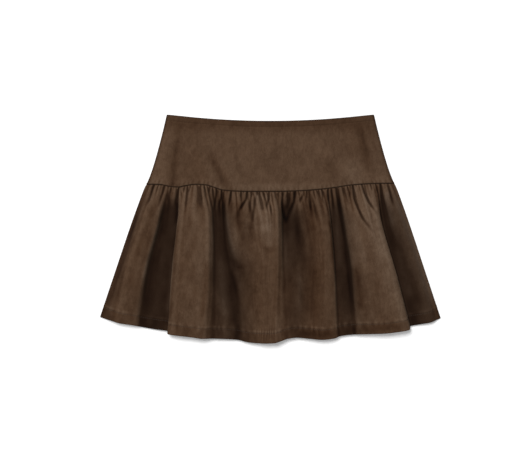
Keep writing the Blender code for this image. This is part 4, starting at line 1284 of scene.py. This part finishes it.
def grownAlong(name, tree, paths, values):
    # a plain mesh of what the tree grows along these paths
    data = bpy.data.meshes.new(name + "Path")
    points, edges = [], []
    for path in paths:
        first = len(points)
        points += [tuple(p) for p in np.asarray(path) * mm]
        edges += [(k, k + 1) for k in range(first, len(points) - 1)]
    data.from_pydata(points, edges, [])
    holder = linked(name + "Path", data)
    modifier = holder.modifiers.new("grow", "NODES")
    modifier.node_group = tree
    for item in tree.interface.items_tree:
        if item.in_out == "INPUT" and item.name in values:
            modifier[item.identifier] = values[item.name]
    seen = holder.evaluated_get(bpy.context.evaluated_depsgraph_get())
    mesh = bpy.data.meshes.new_from_object(seen)
    mesh.name = name
    mesh.shade_smooth()
    holder.modifiers.clear()
    bpy.data.objects.remove(holder)
    return linked(name, mesh)


stitchRow = stitchTree("stitchRow")
stitchValues = {
    "Pitch": stitch["pitch"] * mm,
    "Stitch length": stitch["length"] * mm,
    "Thread width": stitch["width"] * mm,
    "Unevenness": stitch["unevenness"],
    "Seed": stitch["seed"],
    "Thread": thread,
}
frontPaths = [frontHemPath + (0, 0, stitch["frontLift"])]
backPaths = [path + (0, 0, stitch["backSink"]) for path in backHemPaths]
frontStitches = grownAlong("hem_stitches_front", stitchRow, frontPaths, stitchValues)
backStitches = grownAlong("hem_stitches_back", stitchRow, backPaths, stitchValues)
for piece in (frontStitches, backStitches):
    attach(piece, "skirt")
print(f"hem stitches made, {len(frontStitches.data.polygons) + len(backStitches.data.polygons)} faces")


# Zip in the centre back

zipper = {
    "length": 150.0,
    "topGap": 4.0,
    "tapeWidth": 12.0,
    "tapeWall": 1.0,
    "wovenWall": 0.7,
    "clearance": 0.3,
    "sliderLength": 8.0,
    "sliderWidth": 5.4,
    "sliderWall": 1.7,
    "stemWidth": 1.0,
    "stemLength": 2.4,
    "tabWidth": 4.4,
    "tabWall": 0.9,
    "tabLow": 0.2,
    "panelTop": -7.0,
    "toothPitch": 1.25,
    "toothReach": 1.9,
    "toothWidth": 0.75,
    "toothOpening": 2.2,  # how far the teeth part round the slider
}


def tapeSheet(side):
    top = waistLine(0.0) - skirt["backWaistShort"] - zipper["topGap"]
    y = np.linspace(top, top - zipper["length"], 90)[:, None]
    slot = zipper["sliderWidth"] / 2 + zipper["clearance"] - skirt["halfGap"]
    inner = skirt["halfGap"] + slot * window(y - hingeY, 5.0, 11.0)
    across = np.linspace(0, 1, 14)
    x = side * (inner + (zipper["tapeWidth"] - inner) * across)
    z = skirt["yokeWall"] + pocket(x, y) + zipper["clearance"] + zipper["tapeWall"] / 2
    z = z + 0.25 * bell(across, 0.25) + 0 * y
    return np.stack([x, y + 0 * x, z], axis=2)


def makeTapes():
    for side, label in sides:
        sheet = tapeSheet(side)
        if side < 0:
            sheet = sheet[:, ::-1]
        normals = sheetNormals(sheet)
        half = zipper["wovenWall"] / 2
        outer, inner = sheet + normals * half, sheet - normals * half
        tape = clothWall(f"zip_tape_{label}_woven", outer, inner, [tapeWeave])
        standFor(tape, f"zip_tape_{label}")


def makeTeeth():
    # a moulded coil: one row of teeth for each tape, shifted half a pitch
    top = waistLine(0.0) - skirt["backWaistShort"] - zipper["topGap"] - 1.0
    paths = []
    for side, shift in ((-1, 0.0), (1, 0.5)):
        start = top - shift * zipper["toothPitch"]
        ys = np.linspace(start, start - zipper["length"] + 3.0, 90)
        parted = window(ys - hingeY, 3.0, 10.0) * (ys > hingeY - 4)
        above = softStep((ys - hingeY) / 6.0)
        spread = 0.55 + zipper["toothOpening"] * parted + zipper["toothOpening"] * above * 0.2
        z = skirt["yokeWall"] + pocket(0.0, ys) + zipper["clearance"] + zipper["tapeWall"] + 0.35
        paths.append(np.stack([side * spread, ys, z], axis=1))
    values = {
        "Pitch": zipper["toothPitch"] * mm,
        "Stitch length": zipper["toothWidth"] * mm,
        "Thread width": zipper["toothReach"] * mm,
        "Unevenness": 0.0,
        "Seed": 1,
        "Thread": enamel,
    }
    teeth = grownAlong("zip_coil", stitchTree("coilRow"), paths, values)
    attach(teeth, "skirt")


def plate(name, outline, low, high, bevel):
    # a flat piece with rounded edges over an outline given anticlockwise, measured from the hinge
    mesh = bmesh.new()
    corners = [(x * mm, (y + hingeY) * mm, low * mm) for x, y in outline]
    base = mesh.faces.new([mesh.verts.new(corner) for corner in corners])
    grown = bmesh.ops.extrude_face_region(mesh, geom=[base])
    lifted = [v for v in grown["geom"] if isinstance(v, bmesh.types.BMVert)]
    bmesh.ops.translate(mesh, verts=lifted, vec=(0, 0, (high - low) * mm))
    bmesh.ops.recalc_face_normals(mesh, faces=mesh.faces)
    rims = [e for e in mesh.edges if abs(e.verts[0].co.z - e.verts[1].co.z) < 1e-7]
    bmesh.ops.bevel(mesh, geom=rims, offset=bevel * mm, segments=3, profile=0.5, affect="EDGES")
    data = bpy.data.meshes.new(name)
    mesh.to_mesh(data)
    mesh.free()
    data.materials.append(enamel)
    data.shade_smooth()
    data.set_sharp_from_angle(angle=math.radians(50))
    return linked(name, data)


def joined(name, parts):
    # one mesh out of several
    mesh = bmesh.new()
    for part in parts:
        mesh.from_mesh(part.data)
    data = bpy.data.meshes.new(name)
    mesh.to_mesh(data)
    mesh.free()
    data.materials.append(enamel)
    for part in parts:
        bpy.data.objects.remove(part)
    return linked(name, data)


def makeSlider():
    half, length = zipper["sliderWidth"] / 2, zipper["sliderLength"] / 2
    low = skirt["yokeWall"] + back["pocketLift"] + zipper["clearance"]
    high = low + zipper["sliderWall"]
    right = [(0.3, -1.0), (0.66, -0.97), (0.86, -0.5), (1.0, 0.1), (1.0, 0.5), (0.86, 0.86), (0.4, 1.0)]
    body = [(x * half, y * length) for x, y in right]
    body += [(-x, y) for x, y in reversed(body)]
    bridge = [(-0.9, -2.6), (0.9, -2.6), (1.1, 0.0), (0.9, 2.2), (-0.9, 2.2), (-1.1, 0.0)]
    stemX, stemY = zipper["stemWidth"] / 2, zipper["stemLength"] / 2
    stem = [(-stemX, -stemY), (stemX, -stemY), (stemX, stemY), (-stemX, stemY)]
    parts = [
        plate("sliderBody", body, low, high - 0.35, 0.22),
        plate("sliderBridge", bridge, high - 0.6, high, 0.18),
        plate("sliderStem", stem, zipper["tabLow"], low + 0.4, 0.12),
    ]
    standFor(joined("zip_slider_cast", parts), "zip_slider")


def roundEnd(radius, middleY):
    # the tab's round end, left to right
    turns = [math.pi * (1 + k / 14) for k in range(15)]
    return [(radius * math.cos(a), middleY + radius * math.sin(a)) for a in turns]


def makeTab():
    half = zipper["tabWidth"] / 2
    fork = zipper["stemWidth"] / 2 + zipper["clearance"]
    forkFloor = -zipper["stemLength"] / 2 - 2 * zipper["clearance"]
    prong = [(half, forkFloor - half), (half - zipper["clearance"], 0.0), (fork, 0.0), (fork, forkFloor)]
    outline = roundEnd(half, half - back["tabLength"]) + prong + [(-x, y) for x, y in reversed(prong)]
    low, high = zipper["tabLow"], zipper["tabLow"] + zipper["tabWall"]
    panel = 0.62 * half
    raised = roundEnd(panel, 1.1 * half - back["tabLength"])
    raised += [(panel, zipper["panelTop"]), (-panel, zipper["panelTop"])]
    parts = [
        plate("tabPlate", outline, low + 0.12, high - 0.12, 0.2),
        plate("tabPanel", raised, low, high, 0.1),
    ]
    standFor(joined("zip_pull_tab_cast", parts), "zip_pull_tab", "zip_pull")


makeTapes()
makeTeeth()
makeSlider()
makeTab()
print("zip made")
